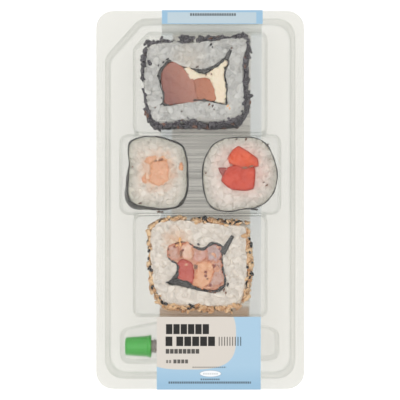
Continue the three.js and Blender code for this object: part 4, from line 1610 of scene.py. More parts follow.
@dataclass
class RiceBed:
    """Rice grains packed round a core, cut flat at the top.

    Attributes:
        form: The outside of the rice.
        holes: Outlines that the cut face is kept clear of, the first being round the middle.
        seed: Seed of the random draws.
        sides: Whether the rice shows at the roll's side and needs grains there.
        face_spacing: Distance between the grains of a layer on the cut face.
        side_spacing: Distance between the grains of the side.
    """

    form: RollForm
    holes: Sequence[Array]
    seed: int
    sides: bool
    face_spacing: float = 2.35
    side_spacing: float = 2.9

    def __post_init__(self) -> None:
        """Starts the random draws and the slow swell of the cut face."""
        self.draw = np.random.default_rng(self.seed)
        self.swell = Ripple(self.seed, 9.0)

    def cut_height(self, flat: Array) -> Array:
        """Height of the cut face: level, falling away at the outer edge and dipping into the filling."""
        angle, away = direction(flat), np.linalg.norm(flat, axis=1)
        outer = np.clip(1 - (reach(self.form.face, angle) - away) / 1.3, 0.0, 1.0)
        inner = np.clip(1 - (away - reach(self.holes[0], angle)) / 1.4, 0.0, 1.0)
        return self.form.top - 0.5 * outer**2 - 0.3 * inner**2 + 0.15 * self.swell.at(flat)

    def core(self) -> Shape:
        """A ring of rice under the grains: outside up, across the cut face, down inside and back below.

        Rice that shows only at its cut face closes as a shallow dish under the filling instead.
        """
        angle = np.linspace(0.0, TURN, 240, endpoint=False)
        hole = reach(self.holes[0], angle)
        knobs = Ripple(2, 1.9)
        foot = LEVELS.food + 0.2
        heights = self.form.climbed(np.linspace(foot, self.form.side_length() - 1.0, 18))
        rings = [self.form.points(angle, z, 0.5 if self.sides else 0.05) for z in heights]
        edge = np.linalg.norm(rings[-1][:, :2], axis=1)
        for share in np.linspace(0.04, 1.0, 16):
            flat = polar(edge + (hole + (0.2 if self.sides else -0.5) - edge) * share, angle)
            rings.append(at_height(flat, self.cut_height(flat) - 0.18 + 0.08 * knobs.at(flat)))
        below = [(1.0, foot)]
        if not self.sides:
            floor = self.form.top - 1.3
            below = [(0.97, floor + 0.4), (0.9, floor), (0.4, floor), (0.0, floor), (0.0, foot)]
        rings += [at_height(flat * share, z) for share, z in below]
        return lofted(np.array(rings), closed=True)

    def on_face(self) -> Shape:
        """Grains of the cut face: jittered lattices in layers, each grain turned any way and cut level.

        Heights are measured from the face while the grains are cut, each on its own slightly tilted level,
        and set back on the face afterwards.
        """
        face, spacing = self.form.face, self.face_spacing
        spreads = []
        for depth in (0.15, 0.85, 1.6):
            flat = staggered(face.min(axis=0), face.max(axis=0), spacing)
            flat = flat + self.draw.uniform(-0.4, 0.4, flat.shape) * spacing
            clear = depth_inside(face, flat) > 0.5
            for hole in self.holes:
                clear &= depth_inside(hole, flat) < -0.35
            flat = flat[clear]
            spreads.append(at_height(flat, -depth - self.draw.uniform(0.0, 0.5, len(flat))))
        at = np.vstack(spreads)
        count = len(at)
        way = unit(self.draw.normal(size=(count, 3)) * [1.0, 1.0, 0.8])
        scale = self.draw.uniform(0.85, 1.1, (count, 1)) * self.draw.uniform(0.92, 1.08, (count, 3))
        level = self.draw.uniform(-0.2, 0.05, count)
        slope = self.draw.normal(0.0, 0.07, (count, 2))

        def tilted(grains: Shape) -> Array:
            """Height of each grain's own level at its points."""
            copy = grains.copy
            return level[copy] + np.sum((grains.points - at[copy])[:, :2] * slope[copy], axis=1)

        grains = scattered(RICE_GRAIN, at, frames_along(way), scale)
        grains.points[:, 2] -= tilted(grains)
        grains = cut_level(grains)
        grains.points[:, 2] += tilted(grains)
        grains.points[:, 2] += self.cut_height(at[:, :2])[grains.copy]
        return self.kept_between(grains)

    def kept_between(self, grains: Shape) -> Shape:
        """Grains pressed flat where they would pass the outside or reach into the filling."""
        points = grains.points.copy()
        angle, away = direction(points), np.linalg.norm(points[:, :2], axis=1)
        most = reach(self.form.face, angle) + 0.15
        least = reach(self.holes[0], angle) + 0.05
        points[:, :2] *= (np.clip(away, least, np.maximum(most, least)) / away)[:, None]
        return Shape(points, grains.polygons, grains.values)

    def on_side(self) -> Shape:
        """Grains of the side: a jittered lattice over the way round and the height, lying on the surface."""
        form = self.form
        place = form.lattice(LEVELS.food + 1.4, form.top - form.shoulder + 0.6, self.side_spacing)
        place = place + self.draw.uniform(-0.9, 0.9, place.shape)
        angle = place[:, 0] / form.girth() * TURN
        z = np.minimum(form.climbed(np.maximum(place[:, 1], LEVELS.food + 1.2)), form.top - 1.0)
        at = form.points(angle, z, 1.3)
        spin = self.draw.uniform(0.0, TURN, len(at))
        scale = self.draw.uniform(0.85, 1.1, (len(at), 1)) * np.ones(3)
        return scattered(RICE_GRAIN, at, frames_on(form.normals(angle, z), spin), scale)

    def shape(self) -> Shape:
        """Core and grains, each grain with its own tone, the core greyer as painted shade in the gaps between
        grains.
        """
        core = self.core()
        # painted shade: the core shows only in the gaps between grains, so it gets a greyer tone
        core.values["tone"] = np.full(len(core.points), 0.4)
        parts = [core]
        for grains in [self.on_face(), *([self.on_side()] if self.sides else [])]:
            copy = grains.copy
            grains.values = {"tone": np.clip(self.draw.normal(0.66, 0.25, copy.max() + 1), 0.0, 1.0)[copy]}
            grains.points[:, 2] = np.maximum(grains.points[:, 2], LEVELS.food)
            parts.append(grains)
        rice = joined(parts)
        # rim value: where the painted shade greys the rice towards the cut face's outer edge
        inward = reach(self.form.face, direction(rice.points)) - np.linalg.norm(rice.points[:, :2], axis=1)
        rice.values["rim"] = np.clip(1 - inward / 4.5, 0.0, 1.0)
        return rice


class Coat(Enum):
    """The two mixes of sesame that the large rolls are coated with."""

    BLACK = "black"
    TOASTED = "toasted"


@dataclass
class Roll:
    """What large and small rolls have in common.

    Attributes:
        name: Prefix of its nodes.
        centre: Its middle in the pack.
        body: Outline of its widest part, seeds included.
        face: Outline of the cut rice.
        crumbs: Crumbs on the cut face, as x, y, length, angle in degrees and brownness.
        fillings: What is inside.
        rice: The rice's finish.
        seed: Seed of its random draws.
    """

    name: str
    centre: tuple[float, float]
    body: Pairs
    face: Pairs
    crumbs: Crumbs
    fillings: list[Filling]
    rice: Rice
    seed: int

    def put(self, kind: str, shape: Shape, material: Material, slot: str, **finish: float) -> Piece:
        """Makes a piece of the roll for the solid of its slot.

        Args:
            kind: The piece's name after the roll's.
            shape: What to write, about the roll's middle.
            material: Its finish.
            slot: The slot, which is also the solid's name after the roll's.
            finish: How far to weld and what to crease.

        Returns:
            The piece, at the roll's place.
        """
        piece = written(f"{self.name}_{kind}", shape.moved(*self.centre), **finish)
        return dressed(piece, material, slot, f"{self.name}_{slot}")

    def filled_in(self, top: float, hollow: Array) -> list[Piece]:
        """The fillings, and the crumbs on them and on the rice, with the cut face at a height."""
        seeds = range(self.seed, self.seed + 10 * len(self.fillings), 10)
        pieces = [part.build(top, seed, self.centre) for part, seed in zip(self.fillings, seeds, strict=True)]
        return [*pieces, scraps(self.name, self.crumbs, self.centre, top, hollow)]


@dataclass
class InsideOutRoll(Roll):
    """A large roll: sesame on rice, a folded sheet of seaweed inside it, and the filling within that.

    Attributes:
        seaweed: Outline of the folded sheet.
        tail: Course of the sheet's free end, out into the rice.
        folds: Thickness of the folded sheet in directions about the middle, in degrees; where it is none,
            the sheet's edge lies hidden under the rice.
        tail_half: Half the thickness of the free end, where it leaves the fold and at its tip.
        sparse: How sparse the seeds are in directions about the middle, in degrees; none is left out at zero.
        strays: Places of loose seeds on the cut face.
        coat: The mix of sesame.
    """

    seaweed: Pairs
    tail: Pairs
    folds: Pairs
    tail_half: tuple[float, float]
    sparse: Pairs
    strays: Pairs
    coat: Coat

    def __post_init__(self) -> None:
        """Works out the roll's form and the space for its filling."""
        body, face = smooth_loop(self.body, 240), smooth_loop(self.face, 240)
        self.form = RollForm(body, face, LEVELS.roll_top, 5.0, 1.6)
        self.sheet = smooth_loop(self.seaweed, 160)

    def build(self) -> list[Piece]:
        """Makes the rice, the seeds, the seaweed and the fillings."""
        tail = self.tail_loop()
        bed = RiceBed(self.form, [grown(self.sheet, 0.05), tail], self.seed, sides=True)
        return [
            self.put("rice_grains", bed.shape(), self.rice.material(), "rice", crease=60.0),
            self.put("sesame", self.seeds(), SESAME[self.coat].material(), "rice"),
            self.put("seaweed_sheet", self.seaweed_shape(tail), SEAWEED.material(), "seaweed", weld=0.01),
            *self.filled_in(LEVELS.roll_top, self.sheet),
        ]

    def tail_loop(self) -> Array:
        """Outline of the free end: a strip along its course that thins towards the tip."""
        course = np.asarray(self.tail, float)
        along = unit(np.gradient(course, axis=0))
        half = np.linspace(*self.tail_half, len(course))[:, None]
        across = np.column_stack([-along[:, 1], along[:, 0]]) * half
        return resampled(np.vstack([course - across, (course + across)[::-1]]), 40)

    def seaweed_shape(self, tail: Array) -> Shape:
        """The folded sheet as a closed band with a wavy upper edge, and its free end as a thin prism.

        The band runs up its outside, over its edge and down its inside. Its thickness swells and thins
        round the fold, and its edge dips where it has none.
        """
        loop = self.sheet

        def wavy(seed: int, wavelength: float) -> Array:
            """A ripple round the fold."""
            return Ripple(self.seed + seed, wavelength).at(loop)

        turn, thick = np.asarray(self.folds, float).T
        thick = np.interp(np.degrees(direction(loop)) % 360, turn, thick, period=360) + 0.3 * wavy(7, 2.5)
        outer = grown(loop, 0.08 + 0.12 * wavy(3, 2.4) + 0.1 * wavy(9, 1.0))
        inner = grown(loop, -np.clip(thick, 0.08, 2.6))
        hidden = np.clip(1 - thick / 0.3, 0.0, 1.0)
        proud = 0.05 + 0.25 * np.clip(thick, 0.0, 1.0)
        edge = LEVELS.roll_top + proud + 0.15 * wavy(4, 3.0) - 2.2 * hidden
        z = LEVELS.food + (edge - LEVELS.food)[None] * np.linspace(0.0, 1.0, 8)[:, None]
        band = lofted(np.concatenate([stacked(outer, z), stacked(inner, z[::-1] - 0.02)]), closed=True)
        top, tip = LEVELS.roll_top + 0.5, grown(tail, -0.1)
        levels = [(tail, LEVELS.food), (tail, 14.0), (tail, top - 0.15), (tip, top)]
        wall = lofted(np.array([at_height(ring, z) for ring, z in levels]))
        return joined([band, wall, plate(tip, top), plate(tail, LEVELS.food).turned_over()])

    def seeds(self) -> Shape:
        """Sesame over the side and round the rim, left out where a slow ripple is low.

        The side has a jittered lattice of seeds that lie on the rice. Round the cut face, seeds turned any
        way fill the space between the rice's outline and the body's, the outer ones lower.
        """
        draw = np.random.default_rng(self.seed + 5)
        form = self.form
        patches, swell = Ripple(self.seed + 6, 4.0), Ripple(self.seed + 2, 5.0)
        spacing, crowd = (1.8, 3.0) if self.coat is Coat.BLACK else (2.0, 1.9)

        def kept(at: Array, normal: Array, angle: Array) -> Array:
            """Places and normals side by side, less those where the coat is sparse."""
            bare = np.interp(np.degrees(angle), *np.asarray(self.sparse, float).T, period=360)
            return np.hstack([at, normal])[patches.at(at[:, :2]) > bare - 1.2]

        place = form.lattice(LEVELS.food + 0.9, form.side_length() - 3.0, spacing)
        place = place + draw.uniform(-0.5, 0.5, place.shape) * spacing
        angle = place[:, 0] / form.girth() * TURN
        z = np.maximum(form.climbed(place[:, 1]), LEVELS.food + 1.0)
        at = form.points(angle, z, -0.1 - draw.uniform(0.0, 0.8, len(z)))
        at[:, :2] *= (1 + 0.016 * swell.at(at[:, :2]))[:, None]
        layers = [kept(at, form.normals(angle, z) + draw.normal(0.0, 0.45, (len(z), 3)), angle)]

        angle = draw.uniform(0.0, TURN, int(form.girth() * crowd))
        inner, outer = reach(form.face, angle), reach(form.body, angle) - 0.5
        out = draw.random(len(angle))
        away = inner + (outer - inner) * out + draw.normal(0.0, 0.3, len(angle))
        away *= 1 + 0.016 * swell.at(polar(outer, angle))
        z = LEVELS.roll_top - 0.5 - draw.uniform(0.0, 1.6, len(angle)) - 1.6 * out**2
        at = at_height(polar(away, angle), z)
        lie = at_height(polar(0.8 * out, angle), 1 - 0.4 * out)
        layers.append(kept(at, lie + draw.normal(0.0, 0.4, at.shape), angle))
        strays = at_height(np.asarray(self.strays, float), LEVELS.roll_top + 0.25)
        layers.append(np.hstack([strays, np.tile([0.1, 0.1, 1.0], (len(strays), 1))]))
        table = np.vstack(layers)
        at, normal = table[:, :3], unit(table[:, 3:])
        count = len(at)
        scale = draw.uniform(0.8, 1.12, (count, 1)) * draw.uniform(0.9, 1.1, (count, 3))
        shape = scattered(SEED_GRAIN, at, frames_on(normal, draw.uniform(0.0, TURN, count)), scale)
        copy = shape.copy
        clusters = Ripple(self.seed + 8, 4.0).at(at)
        chance = 0.05 if self.coat is Coat.BLACK else np.where(clusters > 0.75, 0.75, 0.05)
        other = (draw.random(count) < chance) & (np.arange(count) < count - len(strays))
        shape.values = {"tone": draw.random(count)[copy], "kind": other.astype(float)[copy]}
        shape.points[:, 2] = np.maximum(shape.points[:, 2], LEVELS.food)
        return shape


@dataclass
class Maki(Roll):
    """A small roll: seaweed outside, rice within it, and the filling in the middle.

    Attributes:
        heart: Outline of the hollow that holds the filling.
        sheet: Thickness of the seaweed.
    """

    heart: Pairs
    sheet: float = 0.3

    def __post_init__(self) -> None:
        """Works out the outside of the seaweed and of the rice."""
        body, face = smooth_loop(self.body, 200), smooth_loop(self.face, 200)
        self.outer = RollForm(body, grown(face, self.sheet + 0.05), LEVELS.maki_top + 0.2, 9.0, 0.1)
        self.inner = RollForm(grown(body, -self.sheet - 0.1), face, LEVELS.maki_top, 9.0)

    def build(self) -> list[Piece]:
        """Makes the seaweed, the rice and the fillings."""
        holes = [smooth_loop(self.heart, 96), *(filling.loop() for filling in self.fillings)]
        bed = RiceBed(self.inner, holes, self.seed, sides=False)
        return [
            self.put("seaweed_wrap", self.wrap(), SEAWEED.material(), "seaweed"),
            self.put("rice_grains", bed.shape(), self.rice.material(), "rice", weld=0.001, crease=60.0),
            *self.filled_in(LEVELS.maki_top, holes[0]),
        ]

    def wrap(self) -> Shape:
        """The wrapped sheet: up its slightly wrinkled outside, over its cut edge, and down its inside."""
        angle = np.linspace(0.0, TURN, 200, endpoint=False)
        wrinkle, edge = Ripple(self.seed + 3, 5.0), Ripple(self.seed + 4, 4.0)
        top = LEVELS.maki_top + 0.1 + 0.15 * edge.at(polar(reach(self.outer.face, angle), angle))
        shares = np.concatenate([np.linspace(0.0, 0.66, 8), np.linspace(0.7, 1.0, 10)])[:, None]
        z = np.minimum(LEVELS.food + (top - LEVELS.food)[None] * shares, self.outer.top - 0.01)
        flat = self.outer.points(angle[None], z).reshape(-1, 3)
        sunk = (0.1 + 0.1 * wrinkle.at(flat)).reshape(z.shape)
        skins = [self.outer.points(angle[None], z, sunk + inward) for inward in (0.0, self.sheet)]
        return lofted(np.concatenate([skins[0], skins[1][::-1]]), closed=True)


SEAWEED = Food(
    "seaweed_dark", (0.11, 0.105, 0.10), (0.04, 0.04, 0.038), scale=0.5, contrast=3.0, bump=0.5,
    roughness=0.42, soft=0.0,
)
SESAME = {
    Coat.BLACK: Sesame("black_sesame", (0.15, 0.138, 0.15), (0.05, 0.046, 0.054), (0.2, 0.1, 0.07)),
    Coat.TOASTED: Sesame("toasted_sesame", (0.92, 0.68, 0.42), (0.5, 0.26, 0.12), (0.03, 0.03, 0.03)),
}
CRUMBS = Sesame("roll_crumbs", (0.36, 0.17, 0.1), (0.05, 0.047, 0.045), (0.88, 0.5, 0.22))
SALMON_LEFT = Food(
    "salmon_flesh_left", (0.445, 0.19, 0.133), (0.25, 0.093, 0.073), scale=0.3, contrast=1.0, coat=0.05,
    centre=(-0.0085, 0.048, 0.0), lean=(0.07, 0.03),
)
SALMON_RIGHT = Food(
    "salmon_flesh_right", (0.52, 0.204, 0.113), (0.333, 0.108, 0.06), scale=0.3, contrast=1.2, coat=0.05,
    centre=(0.0015, 0.0455, 0.0), lean=(0.06, 0.0),
)
CREAM_CHEESE = Food(
    "cream_cheese_soft", (0.88, 0.785, 0.63), (0.8, 0.665, 0.5), scale=0.5, contrast=2.0, bump=0.5,
    roughness=0.5,
)
DRESSING = Food(
    "dressing_orange", (0.72, 0.4, 0.25), (0.5, 0.2, 0.13), scale=0.4, contrast=4.0, coat=0.2, roughness=0.3,
    spots=0.35,
)


def prawn(number: int, light: Colour) -> Food:
    """The finish of one piece of prawn, with its own blotches in a deeper and redder tone."""
    dark = (0.8 * light[0], 0.62 * light[1], 0.5 * light[2])
    return Food(
        f"prawn_flesh_{number}", light, dark, scale=0.45, contrast=4.0, bump=0.3, roughness=0.3, coat=0.15,
        soft=0.35, centre=(0.001 * number, -0.026, 0.0), spots=0.3, spot_colour=(0.2, 0.03, 0.02),
        edge=(0.62, 0.2, 0.1), edge_weight=0.75,
    )


def red_pepper(name: str, light: Colour, dark: Colour, lean: tuple[float, float] = (0.0, 0.0)) -> Food:
    """The finish of a strip of red pepper."""
    return Food(
        name, light, dark, scale=0.25, contrast=2.5, bump=0.25, roughness=0.38, coat=0.1, lean=lean,
        centre=(-0.0055, -0.0285, 0.0), edge=(0.33, 0.03, 0.02), edge_weight=0.6,
    )


def salmon_roll() -> InsideOutRoll:
    """The upper large roll: black sesame, salmon and cream cheese."""
    left = Filling(
        "salmon_roll_salmon_left", "salmon", SALMON_LEFT,
        [
            (-10.7, 8), (-8.2, 8.2), (-5.3, 4.9), (-2, 1.6), (-0.8, -3.3), (0, -7.2), (-7, -8.2),
            (-12.7, -8.6), (-13.3, -4.9), (-14.3, 0), (-14.3, 4.5),
        ],
        rise=0.1, relief=0.1, edge=0.35, grow=0.5,
    )
    right = Filling(
        "salmon_roll_salmon_right", "salmon", SALMON_RIGHT,
        [(-1.6, 0.6), (2.5, 1.7), (5.4, 0.8), (7.0, -2.9), (7.4, -7), (3.7, -7.2), (0.4, -7.2), (-0.6, -2.5)],
        rise=-0.05, relief=0.1, edge=0.35, grow=0.35,
    )
    cheese = Filling(
        "salmon_roll_cream_cheese", "cream_cheese", CREAM_CHEESE,
        [
            (-5.3, 5.3), (-3.4, 6.3), (-1.4, 4.6), (2.9, 3.6), (5.4, 4.7), (11.3, 9.6), (12.4, 8.6),
            (11.1, 3.7), (11.9, -1.6), (11.6, -6.4), (11.7, -8.5), (10.4, -8.4), (7.4, -7.4), (7.0, -2.9),
            (5.5, 1.2), (2.5, 2.1), (-1.6, 0.9),
        ],
        rise=0.0, relief=0.2, edge=0.35, grow=0.15, ragged=0.25,
    )
    return InsideOutRoll(
        "salmon_roll",
        (-1.3, 48.3),
        body=[
            (-21.9, 15.2), (-20, 17.4), (-13.1, 18.8), (-5, 19.1), (2, 18.7), (7.4, 19.2), (17.6, 19.6),
            (21.3, 18.7), (21.8, 9), (22, -3.3), (21.8, -12.3), (19.7, -15.6), (17, -18.0), (9.4, -18.9),
            (-2.9, -18.7), (-13.1, -18.9), (-17.9, -18.7), (-19.8, -16.0), (-21.5, -9.8), (-23, -2.5),
            (-22.8, 6.6), (-22.2, 12),
        ],
        face=[
            (-20.2, 13.4), (-18.9, 15.2), (-13.1, 16.2), (-2.9, 16.1), (6.1, 17.2), (12.7, 18), (18.6, 18.2),
            (20.4, 17.2), (20, 13.5), (18.9, 10.4), (18.6, -1.2), (19.1, -7.4), (16.8, -12.3), (10.2, -14.8),
            (1.2, -14.3), (-7, -15), (-14.5, -16), (-17.6, -15.2), (-19.6, -10.7), (-21.4, -3.3),
            (-21.6, 5.7), (-20.7, 10.5),
        ],
        seaweed=[
            (-10.9, 9.2), (-6.6, 6.9), (-2, 5.9), (2.9, 5.4), (7, 6.9), (11.9, 10.4), (13.2, 8.2),
            (11.6, 3.7), (12.5, -1.6), (12.2, -6.6), (12.2, -9.0), (9.8, -8.8), (4.5, -7.6), (-1.2, -7.7),
            (-7, -8.6), (-13.9, -9.2), (-14.0, -4.9), (-15.6, 0), (-15.5, 4.9),
        ],
        tail=[(12, 9.6), (13.1, 11.9), (13.9, 13.5)],
        folds=[
            (14, 0.35), (34, 0.5), (43, 1.0), (56, 1.4), (86, 1.4), (98, 1.1), (104, -0.3), (134, -0.2),
            (142, 0.6), (160, 1.0), (172, 0.7), (182, 0.3), (192, 0.5), (204, 0.3), (212, 1.2), (222, 0.4),
            (236, 0.0), (255, 0.3), (270, 0.7), (300, 0.6), (312, 0.2), (326, 0.1), (340, 0.35),
        ],
        tail_half=(1.0, 0.6),
        sparse=[
            (0, 0.0), (40, 0.2), (60, 0.5), (100, 0.8), (130, 0.9), (150, 0.9), (180, 1.1), (210, 0.5),
            (230, 0.0),
        ],
        strays=[(-19.6, 8.2)],
        crumbs=[
            (5.7, 15.6, 1.6, 60, 0), (6.3, 14.6, 1.0, 80, 0), (-6.4, -11.9, 1.1, 20, 0.2),
            (6.4, -9.6, 1.2, 70, 0.3), (7.0, -11.0, 0.8, 100, 0.4), (-17.2, -10.3, 0.8, 30, 0.5),
            (-15.9, 7.0, 1.1, 80, 0), (-16.1, 2.6, 1.3, 100, 0), (-15.6, -2.0, 1.0, 70, 0.1),
            (-14.6, -6.4, 1.0, 100, 0.1), (-14.6, -8.9, 1.4, 40, 0), (0.0, 6.4, 1.4, 10, 0.2),
            (-12.2, 9.6, 1.6, 20, 0), (-13.9, 8.3, 1.2, 50, 0), (-5.5, 6.4, 0.8, 30, 0.6),
            (3.7, 3.2, 1.0, 60, 0.8), (6.0, 3.4, 0.9, 100, 0.9), (14.2, 14.2, 0.9, 60, 0.5),
            (12.6, -9.6, 1.4, 40, 2), (13.4, -10.6, 1.1, 100, 2), (5.0, -9.0, 1.4, 60, 0.8),
        ],
        fillings=[left, right, cheese],
        coat=Coat.BLACK,
        # painted shade: this rice is coloured darker and greyer than the same rice in the other rolls
        rice=Rice(
            "rice_upper_roll", (0.705, 0.68, 0.635), (0.4, 0.386, 0.366), (0.74, 0.6, 0.45),
            (-0.0045, 0.0575, 0.0), 1.0, 9.0, 0.4,
        ),
        seed=11,
    )


def prawn_roll() -> InsideOutRoll:
    """The lower large roll: toasted and black sesame, prawns and red pepper in dressing."""
    pink, pale, rosy, grey = (0.66, 0.41, 0.37), (0.79, 0.58, 0.47), (0.62, 0.41, 0.35), (0.52, 0.41, 0.42)
    peach, mauve = (0.78, 0.46, 0.29), (0.57, 0.38, 0.33)
    pieces = [
        ("a", rosy, 0.1, [(-12.9, 7.2), (-10.2, 8), (-8.6, 5.3), (-8.4, 2.5), (-11.1, 2.3), (-12.9, 3.7)]),
        ("b", pale, 0.35, [(-7, 7.6), (-4.9, 8.6), (-3.1, 6.6), (-3.3, 3.3), (-5.3, 2), (-7, 3.7)]),
        ("c", pink, 0.0, [(-2.5, 6.1), (0, 6.3), (2.5, 5.7), (2.7, 3.3), (0.4, 1.6), (-2.7, 2)]),
        ("d", grey, 0.1, [(3.1, 6.8), (5.3, 8.4), (8.4, 7), (8.7, 4.5), (7.4, 2), (4.1, 2)]),
        ("e", peach, 0.25, [
            (-0.8, 0.4), (2.5, 1.2), (5.1, 0), (4.9, -4.1), (2.9, -8.2), (-0.4, -9.2), (-2.3, -7.8),
            (-1.6, -3.3),
        ]),
        ("f", mauve, 0.0, [
            (5.7, 0.8), (8.2, 1.2), (9.1, -2.5), (9.6, -7.2), (6.6, -8.8), (3.7, -8.6), (5.3, -4.5),
        ]),
    ]
    fillings = [
        Filling(
            f"prawn_roll_prawn_{letter}", "prawn", prawn(number, light), outline, rise=rise, relief=0.2,
            edge=0.55, grow=0.65, ragged=0.2,
        )
        for number, (letter, light, rise, outline) in enumerate(pieces)
    ]
    fillings.append(
        Filling(
            "prawn_roll_red_pepper_strip", "pepper",
            red_pepper("pepper_in_prawn_roll", (0.56, 0.13, 0.09), (0.4, 0.035, 0.025), (0.055, 0.0)),
            [
                (-8.6, 1.2), (-6.6, 2), (-3.3, 0.4), (-2.7, -3.3), (-3.1, -7.4), (-6.6, -7.4), (-8.8, -6.8),
                (-9.0, -4),
            ],
            rise=0.1, relief=0.08, edge=0.4, grow=0.4,
        )
    )
    seaweed = [
        (-13.1, 7.4), (-9.4, 9), (-5.3, 9.4), (-2.9, 7.8), (1.2, 7), (5.3, 9.2), (9.4, 7.6), (9.2, 2.9),
        (9.6, -2), (10.7, -7.8), (7.4, -11.2), (2.9, -11.2), (-2.9, -9.9), (-8.2, -8.6), (-13.1, -7.8),
        (-10.2, -4.1), (-9.4, -0.4), (-12.9, 2.9),
    ]
    poured = [
        (-12.7, 7.2), (-9.4, 8.7), (-5.3, 9.1), (-2.9, 7.5), (1.2, 6.7), (5.3, 8.8), (9.0, 7.4), (8.8, 2.9),
        (9.2, -2), (10.2, -7.6), (7, -10.3), (2.9, -10.3), (-1.6, -8.9), (-3.6, -6.6), (-8.2, -5.4),
        (-9.0, -4.1), (-9.0, -0.6), (-12.5, 3.1),
    ]
    bed = Filling(
        "prawn_roll_dressing", "dressing", DRESSING, poured, rise=-0.25, relief=0.2, edge=0.3, grow=0.0
    )
    return InsideOutRoll(
        "prawn_roll",
        (-0.1, -26.7),
        body=[
            (-21.3, 15.6), (-17.2, 18.9), (-8.2, 19.9), (2, 19.1), (12.3, 18.7), (20.5, 17.2), (21.3, 10.2),
            (22.1, 2), (21.9, -6.1), (19.7, -14.8), (15.6, -19.2), (6.1, -19.6), (-4.1, -19.6),
            (-15.2, -18.5), (-19.3, -13.1), (-21.1, -2.9), (-21.9, 8.2),
        ],
        face=[
            (-19.7, 14.4), (-16.4, 17.4), (-8.2, 18.2), (2, 17.2), (12.3, 16), (18.7, 14.8), (18.8, 8.2),
            (19.3, 1.2), (18.4, -7.8), (16, -14.2), (10.7, -16.3), (2, -16.7), (-6.1, -16.0), (-14.3, -15.2),
            (-18.2, -10.2), (-19.9, -1.2), (-20.3, 8.2),
        ],
        seaweed=seaweed,
        tail=[(9.2, 4.6), (11.3, 8.2), (13.5, 11.9)],
        folds=[
            (8, 0.2), (41, 0.6), (58, 0.7), (71, 1.0), (90, 0.8), (108, 0.3), (118, -0.3), (154, -0.3),
            (164, 0.3), (178, 0.4), (192, 0.5), (205, 1.6), (214, 2.6), (222, 2.6), (243, 2.4), (258, 1.4),
            (275, 0.6), (302, 1.0), (324, 1.2), (343, 0.4),
        ],
        tail_half=(1.3, 0.7),
        sparse=[(0, 0.4), (50, 0.8), (90, 1.0), (130, 0.7), (170, 0.4), (200, 0.3), (250, 0.0), (320, 0.2)],
        strays=[(18.4, 11.9)],
        crumbs=[
            (4.2, -11.0, 1.8, 5, 0.5), (6.0, -11.5, 1.5, 10, 0.6), (9.9, -10.4, 1.6, 70, 0.6),
            (10.6, -11.6, 1.2, 90, 0.8), (11.4, -8.2, 1.8, 80, 0), (-1.7, -0.9, 2.2, 50, 0.7),
            (3.0, -5.8, 0.9, 0, 0.8), (-7.7, 4.6, 2.6, 85, 0.9), (-12.0, -6.6, 2.2, 30, 0),
            (-11.0, -5.4, 2.4, 50, 0), (-9.8, -6.2, 2.4, 20, 0), (-13.4, -7.2, 1.6, 10, 0),
            (-9.0, -7.4, 2.2, 0, 0), (-12.6, 3.9, 1.0, 120, 0.5), (-13.0, 6.4, 1.2, 95, 0.6),
            (-0.6, 8.4, 1.4, 150, 0), (-8.3, 10.2, 2.4, 80, 2), (-8.0, 8.4, 2.0, 100, 2),
            (-1.7, -0.8, 2.2, 130, 0.6), (-9.6, 7.9, 1.4, 30, 2),
        ],
        fillings=[*fillings, bed],
        coat=Coat.TOASTED,
        rice=Rice(
            "rice_lower_roll", (0.96, 0.842, 0.723), (0.696, 0.608, 0.52), (0.84, 0.52, 0.33),
            (-0.0095, -0.0168, 0.0), 1.0, 7.5, 0.95,
        ),
        seed=23,
    )


def salmon_maki() -> Maki:
    """The left small roll, with dressed salmon."""
    flake = dict(
        light=(0.8, 0.46, 0.3), dark=(0.66, 0.33, 0.2), scale=0.3, bump=0.5, soft=0.35,
        edge=(0.7, 0.31, 0.15), edge_weight=0.6,
    )
    outlines = {
        "salmon_maki_salmon_core": [
            (-2, 3.7), (0.8, 4.9), (3.7, 4.3), (4.5, 0.6), (4.1, -3.5), (0.4, -5.1), (-2.5, -3.7),
            (-2.7, 0.2),
        ],
        "salmon_maki_salmon_flake_a": [
            (-4.9, 5.1), (-2.9, 6.6), (0, 6.5), (0.4, 5.6), (-2, 4.5), (-4.1, 3.5),
        ],
        "salmon_maki_salmon_flake_b": [(1.2, 5.8), (2.5, 7.4), (4.5, 7), (5, 5.3), (3, 5.4)],
        "salmon_maki_salmon_flake_c": [(-6.6, -2.7), (-4.6, -0.8), (-3.4, -1.8), (-3.5, -3.7), (-5.9, -3.9)],
        "salmon_maki_salmon_flake_d": [(9.2, 2.3), (9.8, 3.4), (10.6, 2.6), (10.4, 1.1), (9.3, 1.1)],
    }
    fillings = [
        Filling(
            node_name, "salmon_mayo", Food(f"dressed_salmon_{number}", **flake), outline, edge=0.5,
            relief=0.3, grow=0.5, ragged=0.22,
        )
        for number, (node_name, outline) in enumerate(outlines.items())
    ]
    return Maki(
        "salmon_maki",
        (-17.7, 11.2),
        body=[
            (-11.9, 12.9), (-8.2, 14.8), (-0.8, 15.4), (5.7, 13.9), (10.7, 11.5), (12.5, 5.9), (12.9, -1),
            (12.5, -8.4), (9.8, -13.7), (3.3, -15.5), (-4.9, -15.4), (-11.1, -14.6), (-13.5, -10.9),
            (-13.1, -2.3), (-12.1, 3.9), (-12.5, 9.2),
        ],
        face=[
            (-10.7, 12.5), (-7.8, 14.1), (-0.8, 14.6), (4.9, 13.1), (9.8, 10.7), (11.7, 5.9), (12.1, -1),
            (11.7, -8), (9, -12.9), (3.3, -14.6), (-2.9, -13.9), (-8.2, -12.9), (-11.1, -9.6), (-11.5, -3.1),
            (-11.3, 3.9), (-11.5, 9.2),
        ],
        heart=outlines["salmon_maki_salmon_core"],
        crumbs=[
            (-7.0, -12.6, 1.6, 10, 0.4), (1.4, 5.3, 2.2, 20, 1), (-0.6, 4.8, 1.4, 35, 1),
            (-10.2, 2.4, 0.8, 60, 0.9),
        ],
        fillings=fillings,
        rice=Rice(
            "rice_left_maki", (0.931, 0.812, 0.693), (0.672, 0.584, 0.496), (0.83, 0.49, 0.32),
            (-0.0175, 0.012, 0.0), 4.5, 10.0, 0.85, 0.75,
        ),
        seed=37,
    )


